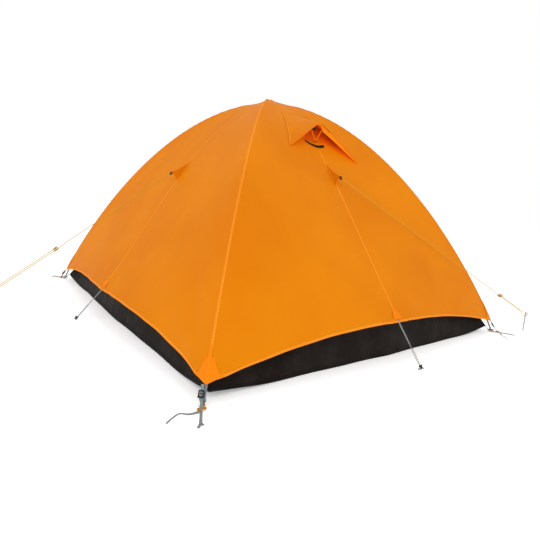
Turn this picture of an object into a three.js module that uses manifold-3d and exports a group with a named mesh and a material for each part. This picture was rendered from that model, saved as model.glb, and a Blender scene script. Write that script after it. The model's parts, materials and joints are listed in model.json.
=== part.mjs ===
// Two-pole dome tent with a full flysheet, pitched and guyed out.
// Millimetres, +Z up. The origin is the middle of the groundsheet, on the ground.
// The vent hood faces -Y, the short sides face -Y and +Y, the door faces +X.
import * as THREE from 'three';
import { mergeVertices } from 'three/addons/utils/BufferGeometryUtils.js';
import Module from 'manifold-3d';

const wasm = await Module();
wasm.setup();

// ---- driving dimensions ----
const FOOT_X = 940; // half the spacing of the pole feet along X
const FOOT_Y = 1070; // half the spacing of the pole feet along Y
const FLY_TOP = 1225; // height of the flysheet where the poles cross
const SHOULDER = 1215; // where the small peak over the crossing starts
const PEAK = 1248; // its tip
const ARC_R = 1.064; // how full the pole arch is outward
const ARC_Z = 1.856; // how full the pole arch is upward
const FLARE = 0.19; // how far the hem is pulled out between the corners
const FLARE_FADE = 360; // height over which that flare dies away
const SADDLE = 0.06; // how far the panels curve in between the poles
const CLOTH = 2.4; // thickness of the fabric solids
const GAP = 0.4; // air between pieces that touch or are sewn together
const HEM_CORNER = 65; // hem height over a pole foot
const HEM_SHORT = 165; // hem height in the middle of the -Y and +Y sides
const HEM_LONG = 142; // hem height in the middle of the -X and +X sides
const INNER_INSET = 58; // air between flysheet and inner tent
const FLOOR_INSET = 39; // groundsheet edge, in from the pole feet
const TUB_HEIGHT = 180; // height of the dark waterproof walls
const POLE_R = 4.25; // 8.5 mm pole
const POLE_INSET = 13; // pole centre, in from the flysheet's ridge
const POLE_DROP = 19; // pole centre, below the flysheet's arch at the crossing
const CROSSING = 9.4; // how far the lower pole passes under the upper one
const WEB = 12; // webbing width
const WEB_T = 1.8; // webbing thickness
const CORD_R = 1.3; // guy line radius
const ASIDE = 8; // how far the corner straps run beside the pole

const COLOURS = {
  fly: [0xee8a1c, 0.62, 0],
  inner: [0xd9d6cc, 0.8, 0],
  tub: [0x2a2725, 0.55, 0],
  pole: [0xb4b6b8, 0.32, 1],
  gold: [0xd99a20, 0.35, 1],
  web: [0x8a8a86, 0.85, 0],
  plastic: [0x17171a, 0.45, 0],
  cord: [0xf0c060, 0.7, 0],
};

const tent = new THREE.Group();
const V = (x, y, z) => new THREE.Vector3(x, y, z);

function add(name, geometry, finish) {
  const [color, roughness, metalness] = COLOURS[finish];
  const material = new THREE.MeshStandardMaterial({ color, roughness, metalness });
  const mesh = new THREE.Mesh(geometry, material);
  mesh.name = name;
  tent.add(mesh);
}

// ---- closed solids ----

/** Keeps only the positions of a geometry and merges the shared ones. */
function welded(geometry) {
  const bare = geometry.clone();
  bare.deleteAttribute('normal');
  bare.deleteAttribute('uv');
  return mergeVertices(bare, 1e-3);
}

/** Six times the signed volume of an indexed geometry: negative when it is inside out. */
function signedVolume(geometry) {
  const p = geometry.attributes.position;
  const index = geometry.index.array;
  const [a, b, c] = [V(0, 0, 0), V(0, 0, 0), V(0, 0, 0)];
  let sum = 0;
  for (let i = 0; i < index.length; i += 3) {
    a.fromBufferAttribute(p, index[i]);
    b.fromBufferAttribute(p, index[i + 1]);
    c.fromBufferAttribute(p, index[i + 2]);
    sum += a.dot(b.cross(c));
  }
  return sum;
}

/** A closed skin between two equal grids of points, top[row][col] and under[row][col]. */
function skin(top, under) {
  const rows = top.length;
  const cols = top[0].length;
  const points = [...top.flat(), ...under.flat()];
  const at = (layer, r, c) => layer * rows * cols + r * cols + c;
  const index = [];
  const quad = (a, b, c, d) => index.push(a, b, c, a, c, d);
  for (let r = 0; r < rows - 1; r += 1) {
    for (let c = 0; c < cols - 1; c += 1) {
      quad(at(0, r, c), at(0, r, c + 1), at(0, r + 1, c + 1), at(0, r + 1, c));
      quad(at(1, r, c), at(1, r + 1, c), at(1, r + 1, c + 1), at(1, r, c + 1));
    }
    quad(at(0, r, 0), at(0, r + 1, 0), at(1, r + 1, 0), at(1, r, 0));
    quad(at(0, r, cols - 1), at(1, r, cols - 1), at(1, r + 1, cols - 1), at(0, r + 1, cols - 1));
  }
  for (let c = 0; c < cols - 1; c += 1) {
    quad(at(0, 0, c), at(1, 0, c), at(1, 0, c + 1), at(0, 0, c + 1));
    quad(at(0, rows - 1, c), at(0, rows - 1, c + 1), at(1, rows - 1, c + 1), at(1, rows - 1, c));
  }
  const geometry = new THREE.BufferGeometry().setFromPoints(points);
  geometry.setIndex(index);
  if (signedVolume(geometry) < 0) {
    for (let i = 0; i < index.length; i += 3) {
      [index[i + 1], index[i + 2]] = [index[i + 2], index[i + 1]];
    }
    geometry.setIndex(index);
  }
  return geometry;
}

/** A flat strap through points, with its width along one direction; widths may differ. */
function strap(points, across, widths, thickness) {
  const side = across.clone().normalize();
  const top = [];
  const under = [];
  points.forEach((p, i) => {
    const ahead = points[Math.min(i + 1, points.length - 1)];
    const behind = points[Math.max(i - 1, 0)];
    const up = ahead.clone().sub(behind).cross(side).normalize().multiplyScalar(thickness / 2);
    const half = side.clone().multiplyScalar((Array.isArray(widths) ? widths[i] : widths) / 2);
    const row = (s) => [
      p.clone().sub(half).addScaledVector(up, s),
      p.clone().add(half).addScaledVector(up, s),
    ];
    top.push(row(1));
    under.push(row(-1));
  });
  return skin(top, under);
}

/** A round bar along a smooth curve through points. */
function bar(points, radius, sides, steps) {
  const section = new THREE.Shape();
  for (let i = 0; i < sides; i += 1) {
    const a = (2 * Math.PI * i) / sides;
    const [x, y] = [radius * Math.cos(a), radius * Math.sin(a)];
    if (i === 0) section.moveTo(x, y);
    else section.lineTo(x, y);
  }
  const extrudePath = new THREE.CatmullRomCurve3(points, false, 'centripetal');
  return welded(new THREE.ExtrudeGeometry(section, { steps, extrudePath, bevelEnabled: false }));
}

/** A block with its length along one direction and its width along another. */
function block(centre, along, across, length, width, height) {
  const x = along.clone().normalize();
  const z = x.clone().cross(across).normalize();
  const y = z.clone().cross(x);
  const place = new THREE.Matrix4().makeBasis(x, y, z).setPosition(centre);
  return new THREE.BoxGeometry(length, width, height).applyMatrix4(place);
}

function solid(geometry) {
  const g = welded(geometry);
  const mesh = new wasm.Mesh({
    numProp: 3,
    vertProperties: new Float32Array(g.attributes.position.array),
    triVerts: new Uint32Array(g.index.array),
  });
  return new wasm.Manifold(mesh);
}

function fromSolid(manifold) {
  const mesh = manifold.getMesh();
  const geometry = new THREE.BufferGeometry();
  geometry.setAttribute('position', new THREE.BufferAttribute(mesh.vertProperties, 3));
  geometry.setIndex(new THREE.BufferAttribute(mesh.triVerts, 1));
  return geometry;
}

// ---- the shape of the dome ----

/** How far out a pole's arch is at a height, 1 at the foot and 0 at the crossing. */
function arch(z, top) {
  const rise = Math.min(Math.max(z / top, 0), 1);
  return Math.cos(Math.asin(rise ** (1 / ARC_Z))) ** ARC_R;
}

/** How far out a panel's ridge is at a height: the arch, drawn up into the peak at the top. */
function ridge(z, shape) {
  if (z <= shape.shoulder) return arch(z, shape.top);
  const left = Math.max(0, (shape.peak - z) / (shape.peak - shape.shoulder));
  return arch(shape.shoulder, shape.top) * left ** 1.5;
}

/** How far out the middle of a panel is at a height, on the same scale as ridge. */
function middle(z, shape) {
  const out = ridge(z, shape);
  const pull = FLARE * Math.exp(-z / FLARE_FADE) - SADDLE;
  return out + pull * Math.min(1, out / 0.3);
}

/** Places of a panel between two ridges: side is the outward direction, s runs -1 to 1. */
function onPanel(side, shape, s, z) {
  const out = ridge(z, shape);
  const centre = middle(z, shape);
  const bend = Math.min(0.85, z / 900);
  const w = Math.abs(s);
  const depth = centre + (out - centre) * ((1 - bend) * w + bend * w * w);
  return side.x !== 0
    ? V(side.x * shape.x * depth, s * out * shape.y, z)
    : V(s * out * shape.x, side.y * shape.y * depth, z);
}

const SIDES = {
  front: V(0, -1, 0),
  back: V(0, 1, 0),
  left: V(-1, 0, 0),
  right: V(1, 0, 0),
};
const FLY = { x: FOOT_X, y: FOOT_Y, top: FLY_TOP, shoulder: SHOULDER, peak: PEAK };
const INNER_TOP = FLY_TOP - INNER_INSET;
const INNER = {
  x: FOOT_X - INNER_INSET,
  y: FOOT_Y - INNER_INSET,
  top: INNER_TOP,
  shoulder: INNER_TOP - 8,
  peak: INNER_TOP + 2,
};

/** One fabric panel from its hem to the top; hem(s) gives the hem's height. */
function panel(side, shape, hem, cols, rows) {
  const edge = 1 - 1.2 / shape.x;
  const topEdge = shape.peak - 1.5;
  const top = [];
  const under = [];
  for (let r = 0; r <= rows; r += 1) {
    const climb = 1 - (1 - r / rows) ** 1.6;
    const outer = [];
    const inner = [];
    for (let c = 0; c <= cols; c += 1) {
      const s = (-1 + (2 * c) / cols) * edge;
      const z = hem(Math.abs(s)) + (topEdge - hem(Math.abs(s))) * climb;
      const p = onPanel(side, shape, s, z);
      const shrink = Math.max(1 - CLOTH / Math.max(Math.abs(p.x), Math.abs(p.y)), 0.5);
      outer.push(p);
      inner.push(V(p.x * shrink, p.y * shrink, p.z - CLOTH * climb));
    }
    top.push(outer);
    under.push(inner);
  }
  return skin(top, under);
}

const shortHem = (s) => HEM_SHORT - (HEM_SHORT - HEM_CORNER) * s ** 2.2;
const longHem = (s) => HEM_LONG - (HEM_LONG - HEM_CORNER) * s ** 3;
const tubTop = () => TUB_HEIGHT + 1;

/** A prism across the +X panels, from an outline given as [y, z] corners. */
function doorPrism(corners, inward) {
  const centre = corners.reduce(([a, b], [y, z]) => [a + y, b + z], [0, 0]);
  const [cy, cz] = centre.map((v) => v / corners.length);
  const shape = new THREE.Shape();
  corners.forEach(([y, z], i) => {
    const reach = Math.hypot(y - cy, z - cz);
    const k = 1 - inward / reach;
    const [py, pz] = [cy + (y - cy) * k, cz + (z - cz) * k];
    if (i === 0) shape.moveTo(py, pz);
    else shape.lineTo(py, pz);
  });
  const prism = new THREE.ExtrudeGeometry(shape, { depth: 900, bevelEnabled: false });
  const turn = new THREE.Matrix4().makeBasis(V(0, 1, 0), V(0, 0, 1), V(1, 0, 0));
  prism.applyMatrix4(turn.setPosition(250, 0, 0));
  return solid(prism);
}

const FLY_DOOR = [[24, -40], [740, -40], [740, 60], [62, 880], [24, 880]];
const INNER_DOOR = [[45, 192], [500, 192], [77, 700], [45, 700]];

// ---- flysheet ----
const VENT = { y: -470, z: 985, width: 190, height: 44 };
const flyFront = solid(panel(SIDES.front, FLY, shortHem, 14, 14));
const ventWindow = new THREE.BoxGeometry(VENT.width, 420, VENT.height);
ventWindow.translate(0, VENT.y, VENT.z);
add('fly_front_panel', fromSolid(flyFront.subtract(solid(ventWindow))), 'fly');
add('fly_back_panel', panel(SIDES.back, FLY, shortHem, 14, 14), 'fly');
add('fly_left_panel', panel(SIDES.left, FLY, longHem, 14, 14), 'fly');
const flyRight = solid(panel(SIDES.right, FLY, longHem, 14, 14));
add('fly_door_panel', fromSolid(flyRight.subtract(doorPrism(FLY_DOOR, 0))), 'fly');
add('fly_door_flap', fromSolid(flyRight.intersect(doorPrism(FLY_DOOR, 5))), 'fly');

// The door zip's slider with its pull, on the fixed edge of the opening.
const SLIDER_Z = 190;
const zipFoot = onPanel(SIDES.right, FLY, 0.014, SLIDER_Z);
const zipTop = onPanel(SIDES.right, FLY, 0.02, 700);
const zipRun = zipTop.clone().sub(zipFoot);
const zipOut = V(zipRun.z, 0, -zipRun.x).normalize();
const sliderAt = zipFoot.clone().addScaledVector(zipOut, 13);
add('fly_zip_slider', block(sliderAt, zipRun, V(0, 1, 0), 30, 9, 4), 'plastic');

// Vent hood: sewn to the front panel along its top and its two sides, open at the brim.
const HOOD = { top: 1112, half: 125, tip: 896, tipHalf: 229, brim: 1046, stand: 122, lift: 4.5 };
function hoodGrid(drop) {
  const grid = [];
  for (let r = 0; r <= 5; r += 1) {
    const v = r / 5;
    const row = [];
    for (let c = 0; c <= 10; c += 1) {
      const u = -1 + c / 5;
      const w = Math.abs(u);
      const x = u * (HOOD.half + (HOOD.tipHalf - HOOD.half) * v);
      const z = HOOD.top + (HOOD.brim + (HOOD.tip - HOOD.brim) * w - HOOD.top) * v;
      const p = onPanel(SIDES.front, FLY, x / (FOOT_X * ridge(z, FLY)), z);
      const stand = HOOD.stand * v ** 1.2 * (1 - w);
      row.push(p.add(V(0, -HOOD.lift - stand, HOOD.lift - drop)));
    }
    grid.push(row);
  }
  return grid;
}
add('vent_hood', skin(hoodGrid(0), hoodGrid(1.8)), 'fly');

// The V-shaped prop that holds the hood's brim open.
const PROP = { base: V(0, -449, 955), reach: V(0, -466, 1014), spread: 34 };
function propLeg(sign) {
  const end = PROP.reach.clone().setX(sign * PROP.spread);
  return strap([PROP.base.clone(), end], V(1, 0, 0), 9, 1.6);
}
add('vent_prop', fromSolid(solid(propLeg(-1)).add(solid(propLeg(1)))), 'fly');

// ---- inner tent and groundsheet ----
const innerRight = solid(panel(SIDES.right, INNER, tubTop, 10, 8));
add('inner_front_wall', panel(SIDES.front, INNER, tubTop, 10, 8), 'inner');
add('inner_back_wall', panel(SIDES.back, INNER, tubTop, 10, 8), 'inner');
add('inner_left_wall', panel(SIDES.left, INNER, tubTop, 10, 8), 'inner');
add('inner_door_wall', fromSolid(innerRight.subtract(doorPrism(INNER_DOOR, 0))), 'inner');
add('inner_door_flap', fromSolid(innerRight.intersect(doorPrism(INNER_DOOR, 3))), 'inner');

const FLOOR_X = FOOT_X - FLOOR_INSET;
const FLOOR_Y = FOOT_Y - FLOOR_INSET;
const FLOOR_T = 2.2;
const floor = new THREE.BoxGeometry(2 * FLOOR_X, 2 * FLOOR_Y, FLOOR_T);
add('groundsheet', floor.translate(0, 0, FLOOR_T / 2), 'tub');

/** A dark wall sewn to the groundsheet's edge, leaning in to the inner tent's hem. */
function tubWall(side) {
  const top = [];
  const under = [];
  for (let r = 0; r <= 3; r += 1) {
    const v = r / 3;
    const z = FLOOR_T + GAP + (TUB_HEIGHT - FLOOR_T - GAP) * v;
    const outer = [];
    const inner = [];
    for (let c = 0; c <= 8; c += 1) {
      const s = (-1 + c / 4) * 0.9985;
      const head = onPanel(side, INNER, s, TUB_HEIGHT);
      const foot = side.x !== 0
        ? V(side.x * FLOOR_X, s * FLOOR_Y, 0)
        : V(s * FLOOR_X, side.y * FLOOR_Y, 0);
      const p = foot.lerp(head, v).setZ(z);
      const shrink = 1 - CLOTH / Math.max(Math.abs(p.x), Math.abs(p.y));
      outer.push(p);
      inner.push(V(p.x * shrink, p.y * shrink, z));
    }
    top.push(outer);
    under.push(inner);
  }
  return skin(top, under);
}
for (const [name, side] of Object.entries(SIDES)) add(`tub_wall_${name}`, tubWall(side), 'tub');

// ---- poles ----
const POLE_END = 17; // the tips stand this high, in the foot grommets

/** Centre points of one pole in its diagonal plane; dip lowers it at the crossing. */
function polePoints(sx, sy, dip) {
  const points = [];
  const top = FLY_TOP - POLE_DROP;
  for (let i = -20; i <= 20; i += 1) {
    const t = (Math.PI / 2) * (1 - Math.abs(i) / 20);
    const out = Math.sign(i) * Math.cos(t) ** ARC_R;
    const z = top * Math.sin(t) ** ARC_Z;
    const reach = 1 - POLE_INSET / 1000;
    const sag = dip * Math.exp(-((out / 0.12) ** 2));
    points.push(V(sx * out * FOOT_X * reach, sy * out * FOOT_Y * reach, Math.max(z, POLE_END) - sag));
  }
  return points;
}
add('pole_a', bar(polePoints(1, 1, 0), POLE_R, 10, 44), 'pole');
add('pole_b', bar(polePoints(1, -1, CROSSING), POLE_R, 10, 44), 'pole');

// The clip on top of the inner tent that holds the poles together where they cross.
const hub = new THREE.CylinderGeometry(17, 22, 12, 16).rotateX(Math.PI / 2);
add('pole_hub', hub.translate(0, 0, FLY_TOP - POLE_DROP - CROSSING - POLE_R - 7), 'plastic');

// ---- corners ----
const CORNERS = { near: [-1, -1], left: [-1, 1], far: [1, 1], right: [1, -1] };
const FOOT_REACH = 1 - POLE_INSET / 1000;

/** The fastenings at one pole foot. */
function corner(name, sx, sy) {
  const out = V(sx * FOOT_X, sy * FOOT_Y, 0).normalize();
  const across = V(-out.y, out.x, 0).multiplyScalar(sx * sy);
  const foot = V(sx * FOOT_X * FOOT_REACH, sy * FOOT_Y * FOOT_REACH, 0);
  const at = (o, a, z) => foot.clone().addScaledVector(out, o).addScaledVector(across, a).setZ(z);

  // Webbing from the groundsheet's corner, under the foot, out to the pull tail.
  const web = [at(-26, -ASIDE, 6), at(-14, -ASIDE, 1.6), at(0, -ASIDE, 1.2), at(40, -ASIDE, 1.2)];
  web.push(at(96, 6 - ASIDE, 1.2));
  add(`foot_web_${name}`, strap(web, across, WEB, WEB_T), 'web');

  // Anodised grommet bar that the pole tip stands in.
  const grommet = block(at(1, -ASIDE / 2, 7.2), across, out, 36, 14, 9.4);
  add(`foot_grommet_${name}`, grommet, 'gold');

  // Flysheet tab, ladder-lock buckle and the strap that runs down to the foot.
  const tip = onPanel(V(sx, 0, 0), FLY, sy, HEM_CORNER);
  const reach = tip.clone().sub(foot).setZ(0).dot(out);
  const line = (k, z) => at(reach + (19 - reach) * k, -ASIDE, z);
  add(`fly_tab_${name}`, strap([line(0.02, 63), line(0.24, 52.5)], across, WEB, WEB_T), 'web');
  const down = line(0.24, 52).sub(line(0.8, 27));
  const middleOf = line(0.52, 39.5);
  const buckle = solid(block(middleOf, down, across, 22, 17, 6));
  const slot = solid(block(middleOf, down, across, 40, WEB + 1, WEB_T + 1));
  add(`ladder_lock_${name}`, fromSolid(buckle.subtract(slot)), 'plastic');
  const tail = [line(0.36, 46.6), line(0.95, 20.3), at(27, -ASIDE, 9), at(48, -4 - ASIDE, 3.4)];
  tail.push(at(120, -24 - ASIDE, 3.4));
  add(`fly_strap_${name}`, strap(tail, across, WEB, WEB_T), 'web');
}
for (const [name, [sx, sy]] of Object.entries(CORNERS)) corner(name, sx, sy);

// ---- mid-side tie-outs ----
const TIEOUT_OUT = 128; // the peg, out from the line of the pole feet

/** Webbing and cord loop from the middle of a hem to a peg. */
function tieout(name, side, hemHeight, half) {
  const across = V(side.y, -side.x, 0);
  const hem = onPanel(side, FLY, 0, hemHeight);
  const start = Math.abs(hem.x + hem.y) + 1.5;
  const end = half + TIEOUT_OUT;
  const at = (d, z) => side.clone().multiplyScalar(d).setZ(z);
  const mid = start + (end - start) * 0.5;
  const points = [at(start, hemHeight - 3), at(mid, 84), at(mid + 8, 76)];
  points.push(at(end - 12, 11), at(end - 4, 9));
  add(`tieout_${name}`, strap(points, across, [WEB, WEB, 6, 6, 9], 2.6), 'web');
  const peg = new THREE.CylinderGeometry(3.5, 3.5, 18, 10).rotateX(Math.PI / 2);
  const stand = at(end + 1, 9);
  add(`tieout_peg_${name}`, peg.translate(stand.x, stand.y, 9.1), 'plastic');
}
tieout('front', SIDES.front, HEM_SHORT, FOOT_Y);
tieout('back', SIDES.back, HEM_SHORT, FOOT_Y);
tieout('left', SIDES.left, HEM_LONG, FOOT_X);
tieout('right', SIDES.right, HEM_LONG, FOOT_X);

// ---- guy lines ----
const GUYS = {
  front: { side: SIDES.front, from: V(0, -631, 782), to: V(1160, -1132, 100), lock: 0.78 },
  left: { side: SIDES.left, from: V(-607, 0, 750), to: V(-1390, 290, 100), lock: 0.68 },
};
const STRANDS = 3; // half the spacing of the doubled stretch

function guy(name, { side, from, to, lock }) {
  // The fabric fin that the line pulls out of the panel's centre seam.
  const seam = (z) => onPanel(side, FLY, 0, z).addScaledVector(side, 1.2);
  const fin = new THREE.Shape();
  const [high, low] = [seam(from.z + 62), seam(from.z - 42)];
  const flat = (p) => [Math.abs(p.x + p.y), p.z];
  fin.moveTo(...flat(high));
  fin.lineTo(...flat(low));
  fin.lineTo(...flat(from.clone().addScaledVector(side, -5)));
  fin.closePath();
  const plate = new THREE.ExtrudeGeometry(fin, { depth: 2.2, bevelEnabled: false });
  const turn = new THREE.Matrix4().makeBasis(side, V(0, 0, 1), side.clone().cross(V(0, 0, 1)));
  plate.applyMatrix4(turn);
  plate.translate(...side.clone().cross(V(0, 0, 1)).multiplyScalar(-1.1).toArray());
  add(`guy_fin_${name}`, plate, 'fly');

  const along = to.clone().sub(from).normalize();
  const across = along.clone().cross(V(0, 0, 1)).normalize();
  const toggleAt = from.clone().addScaledVector(along, 5);
  add(`guy_toggle_${name}`, block(toggleAt, V(0, 0, 1), side, 12, 8, 8), 'plastic');

  // One line: down to the peg, round it and back up to the slider.
  const length = to.distanceTo(from);
  const at = (d, a) => from.clone().addScaledVector(along, d).addScaledVector(across, a);
  const fork = length * lock;
  const half = (fork + length) / 2;
  const points = [at(12, 0), at(fork * 0.5, 0), at(fork - 60, 0), at(fork, -STRANDS)];
  points.push(at(half, -STRANDS), at(length - 30, -STRANDS - 1), at(length - 2, -11));
  points.push(at(length + 16, 0), at(length - 2, 11), at(length - 30, STRANDS + 1));
  points.push(at(half, STRANDS), at(fork + 4, STRANDS));
  add(`guy_line_${name}`, bar(points, CORD_R, 8, 76), 'cord');

  const lockAt = at(fork + 22, 0);
  const body = solid(block(lockAt, along, across, 30, 16, 8));
  const hole = solid(block(lockAt, along, across, 60, 11, 4.4));
  add(`guy_slider_${name}`, fromSolid(body.subtract(hole)), 'plastic');

  const post = new THREE.CylinderGeometry(3, 3, to.z + 14, 8).rotateX(Math.PI / 2);
  add(`guy_peg_${name}`, post.translate(to.x, to.y, (to.z + 14) / 2 + 0.1), 'gold');
}
for (const [name, spec] of Object.entries(GUYS)) guy(name, spec);

export default tent;
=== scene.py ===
"""Looks of a two-pole dome tent with its flysheet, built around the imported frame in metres."""

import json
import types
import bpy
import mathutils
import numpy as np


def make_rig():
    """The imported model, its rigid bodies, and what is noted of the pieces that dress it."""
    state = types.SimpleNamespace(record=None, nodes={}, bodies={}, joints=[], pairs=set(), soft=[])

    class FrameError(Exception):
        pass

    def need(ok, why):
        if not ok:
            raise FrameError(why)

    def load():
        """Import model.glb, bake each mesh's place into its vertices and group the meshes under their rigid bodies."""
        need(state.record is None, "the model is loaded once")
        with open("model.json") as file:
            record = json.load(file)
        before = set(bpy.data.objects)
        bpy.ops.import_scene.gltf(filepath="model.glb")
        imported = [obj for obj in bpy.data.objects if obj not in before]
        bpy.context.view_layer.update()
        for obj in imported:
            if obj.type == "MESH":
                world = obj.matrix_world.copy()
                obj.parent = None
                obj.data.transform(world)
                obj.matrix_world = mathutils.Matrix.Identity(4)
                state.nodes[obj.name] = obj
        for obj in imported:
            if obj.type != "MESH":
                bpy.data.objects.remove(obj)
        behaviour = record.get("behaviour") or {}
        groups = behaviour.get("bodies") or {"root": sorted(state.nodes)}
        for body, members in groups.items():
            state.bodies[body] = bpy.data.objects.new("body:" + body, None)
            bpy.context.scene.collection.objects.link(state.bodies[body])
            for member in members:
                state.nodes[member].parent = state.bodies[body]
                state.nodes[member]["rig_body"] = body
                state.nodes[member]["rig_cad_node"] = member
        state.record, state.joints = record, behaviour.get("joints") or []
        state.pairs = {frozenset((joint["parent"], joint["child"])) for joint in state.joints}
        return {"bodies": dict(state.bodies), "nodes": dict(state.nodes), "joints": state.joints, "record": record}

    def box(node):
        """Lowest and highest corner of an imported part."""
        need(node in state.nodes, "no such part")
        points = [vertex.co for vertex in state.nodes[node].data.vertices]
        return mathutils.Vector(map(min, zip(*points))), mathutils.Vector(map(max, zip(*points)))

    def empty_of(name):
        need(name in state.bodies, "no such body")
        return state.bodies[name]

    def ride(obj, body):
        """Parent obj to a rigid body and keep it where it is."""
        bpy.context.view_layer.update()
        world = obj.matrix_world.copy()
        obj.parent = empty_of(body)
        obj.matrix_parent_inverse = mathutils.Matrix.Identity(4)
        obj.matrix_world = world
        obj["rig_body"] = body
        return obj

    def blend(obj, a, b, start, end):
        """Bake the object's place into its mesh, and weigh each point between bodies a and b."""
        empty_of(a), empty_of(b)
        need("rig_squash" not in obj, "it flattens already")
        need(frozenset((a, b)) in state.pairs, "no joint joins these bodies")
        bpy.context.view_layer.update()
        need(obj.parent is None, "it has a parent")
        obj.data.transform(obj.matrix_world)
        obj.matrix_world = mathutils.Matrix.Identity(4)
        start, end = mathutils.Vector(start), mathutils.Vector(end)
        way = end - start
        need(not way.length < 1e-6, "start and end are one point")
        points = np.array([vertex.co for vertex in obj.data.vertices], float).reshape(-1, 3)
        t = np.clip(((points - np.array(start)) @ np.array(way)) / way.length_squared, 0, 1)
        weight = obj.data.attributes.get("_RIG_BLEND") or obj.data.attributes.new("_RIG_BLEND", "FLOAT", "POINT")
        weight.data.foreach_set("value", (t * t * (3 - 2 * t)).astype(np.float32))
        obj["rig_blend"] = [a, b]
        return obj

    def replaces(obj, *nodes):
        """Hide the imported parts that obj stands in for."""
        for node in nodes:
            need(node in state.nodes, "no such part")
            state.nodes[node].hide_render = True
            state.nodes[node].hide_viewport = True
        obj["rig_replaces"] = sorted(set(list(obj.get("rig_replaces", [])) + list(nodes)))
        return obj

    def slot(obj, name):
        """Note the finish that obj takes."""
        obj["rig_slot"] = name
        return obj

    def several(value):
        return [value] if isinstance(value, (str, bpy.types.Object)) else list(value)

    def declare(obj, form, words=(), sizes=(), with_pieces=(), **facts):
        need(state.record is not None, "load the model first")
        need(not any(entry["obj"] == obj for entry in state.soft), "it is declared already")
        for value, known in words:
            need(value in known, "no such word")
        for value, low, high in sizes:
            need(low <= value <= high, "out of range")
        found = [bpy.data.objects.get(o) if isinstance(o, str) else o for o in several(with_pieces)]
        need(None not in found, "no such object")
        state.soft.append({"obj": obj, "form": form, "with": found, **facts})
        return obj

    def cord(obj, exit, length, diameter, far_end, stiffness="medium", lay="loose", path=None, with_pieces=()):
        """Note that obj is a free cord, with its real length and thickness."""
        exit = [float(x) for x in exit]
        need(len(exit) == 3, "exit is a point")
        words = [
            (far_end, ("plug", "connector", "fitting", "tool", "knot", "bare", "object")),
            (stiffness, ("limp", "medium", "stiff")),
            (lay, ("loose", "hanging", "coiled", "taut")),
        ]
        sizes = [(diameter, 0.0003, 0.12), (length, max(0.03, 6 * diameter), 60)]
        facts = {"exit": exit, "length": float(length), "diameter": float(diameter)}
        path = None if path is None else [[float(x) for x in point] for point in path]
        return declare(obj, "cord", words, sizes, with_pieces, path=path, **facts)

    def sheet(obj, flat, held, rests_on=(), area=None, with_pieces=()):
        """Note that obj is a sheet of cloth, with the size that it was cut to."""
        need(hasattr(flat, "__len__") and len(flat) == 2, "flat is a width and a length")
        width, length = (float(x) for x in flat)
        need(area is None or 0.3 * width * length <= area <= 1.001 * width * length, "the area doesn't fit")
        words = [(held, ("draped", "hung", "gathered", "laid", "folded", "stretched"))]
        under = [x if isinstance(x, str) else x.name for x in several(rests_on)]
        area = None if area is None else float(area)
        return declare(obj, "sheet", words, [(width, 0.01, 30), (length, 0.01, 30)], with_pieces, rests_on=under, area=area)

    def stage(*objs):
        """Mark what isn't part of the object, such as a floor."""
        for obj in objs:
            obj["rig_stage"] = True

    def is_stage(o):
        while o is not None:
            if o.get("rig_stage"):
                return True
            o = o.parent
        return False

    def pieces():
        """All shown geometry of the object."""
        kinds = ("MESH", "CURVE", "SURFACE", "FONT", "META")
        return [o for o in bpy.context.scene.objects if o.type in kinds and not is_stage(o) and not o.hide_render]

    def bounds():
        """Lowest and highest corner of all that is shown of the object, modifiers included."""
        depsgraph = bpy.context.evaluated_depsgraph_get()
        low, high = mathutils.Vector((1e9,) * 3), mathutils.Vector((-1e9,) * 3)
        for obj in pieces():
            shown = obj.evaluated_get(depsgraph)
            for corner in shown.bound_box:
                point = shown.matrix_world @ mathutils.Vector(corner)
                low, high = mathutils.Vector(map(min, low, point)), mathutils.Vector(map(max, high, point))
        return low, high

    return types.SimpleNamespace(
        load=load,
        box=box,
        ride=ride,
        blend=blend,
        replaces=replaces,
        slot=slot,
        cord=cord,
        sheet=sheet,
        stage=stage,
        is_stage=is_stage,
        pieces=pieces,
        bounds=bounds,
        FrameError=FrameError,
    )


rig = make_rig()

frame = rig.load()

import json
import logging
import math
from dataclasses import dataclass, field
from enum import Enum
from typing import Callable, Iterable, Sequence

import bmesh
import bpy
from mathutils import Matrix, Vector, noise

LOG = logging.getLogger("tent")
CAD_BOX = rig.bounds()
Point = Callable[[float, float], Vector]
Piece = bpy.types.Object
Tree = bpy.types.NodeTree
Node = bpy.types.Node
Socket = bpy.types.NodeSocket
BMesh = bmesh.types.BMesh
BMVert = bmesh.types.BMVert
BMFace = bmesh.types.BMFace
EAST, NORTH, UP = Vector((1, 0, 0)), Vector((0, 1, 0)), Vector((0, 0, 1))

# ---- driving dimensions ----
FLOOR_INSET = 0.039  # groundsheet edge, in from the pole feet
FLOOR_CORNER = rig.box("groundsheet")[1]
FOOT_X = FLOOR_CORNER.x + FLOOR_INSET
FOOT_Y = FLOOR_CORNER.y + FLOOR_INSET
FLY_TOP = 1.225  # the flysheet where the poles cross
SHOULDER = 1.215  # where the small peak over the crossing starts
PEAK = 1.248
INNER_INSET = 0.058  # air between flysheet and inner tent
TUB_HEIGHT = 0.180
HEM_CORNER = 0.065  # hem height over a pole foot
CORNER_LIFT = 0.030  # how far the corner straps lift the floor's corners
POLE_RADIUS = 0.00425
WEB_WIDTH = 0.010
ASIDE = 0.008  # how far the corner straps run beside the pole
WEB_THICK = 0.0015
CORD_RADIUS = 0.0018
WELD = 0.0004  # seams whose vertices lie closer than this are joined
CROWDING = 1.6  # crowds a panel's rows towards its top
SEWING_THREAD = "F29A3C"
TINY = 1e-12
SHARP_EDGE = 0.9  # faces that meet at a larger angle, in radians, keep a sharp edge


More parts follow.
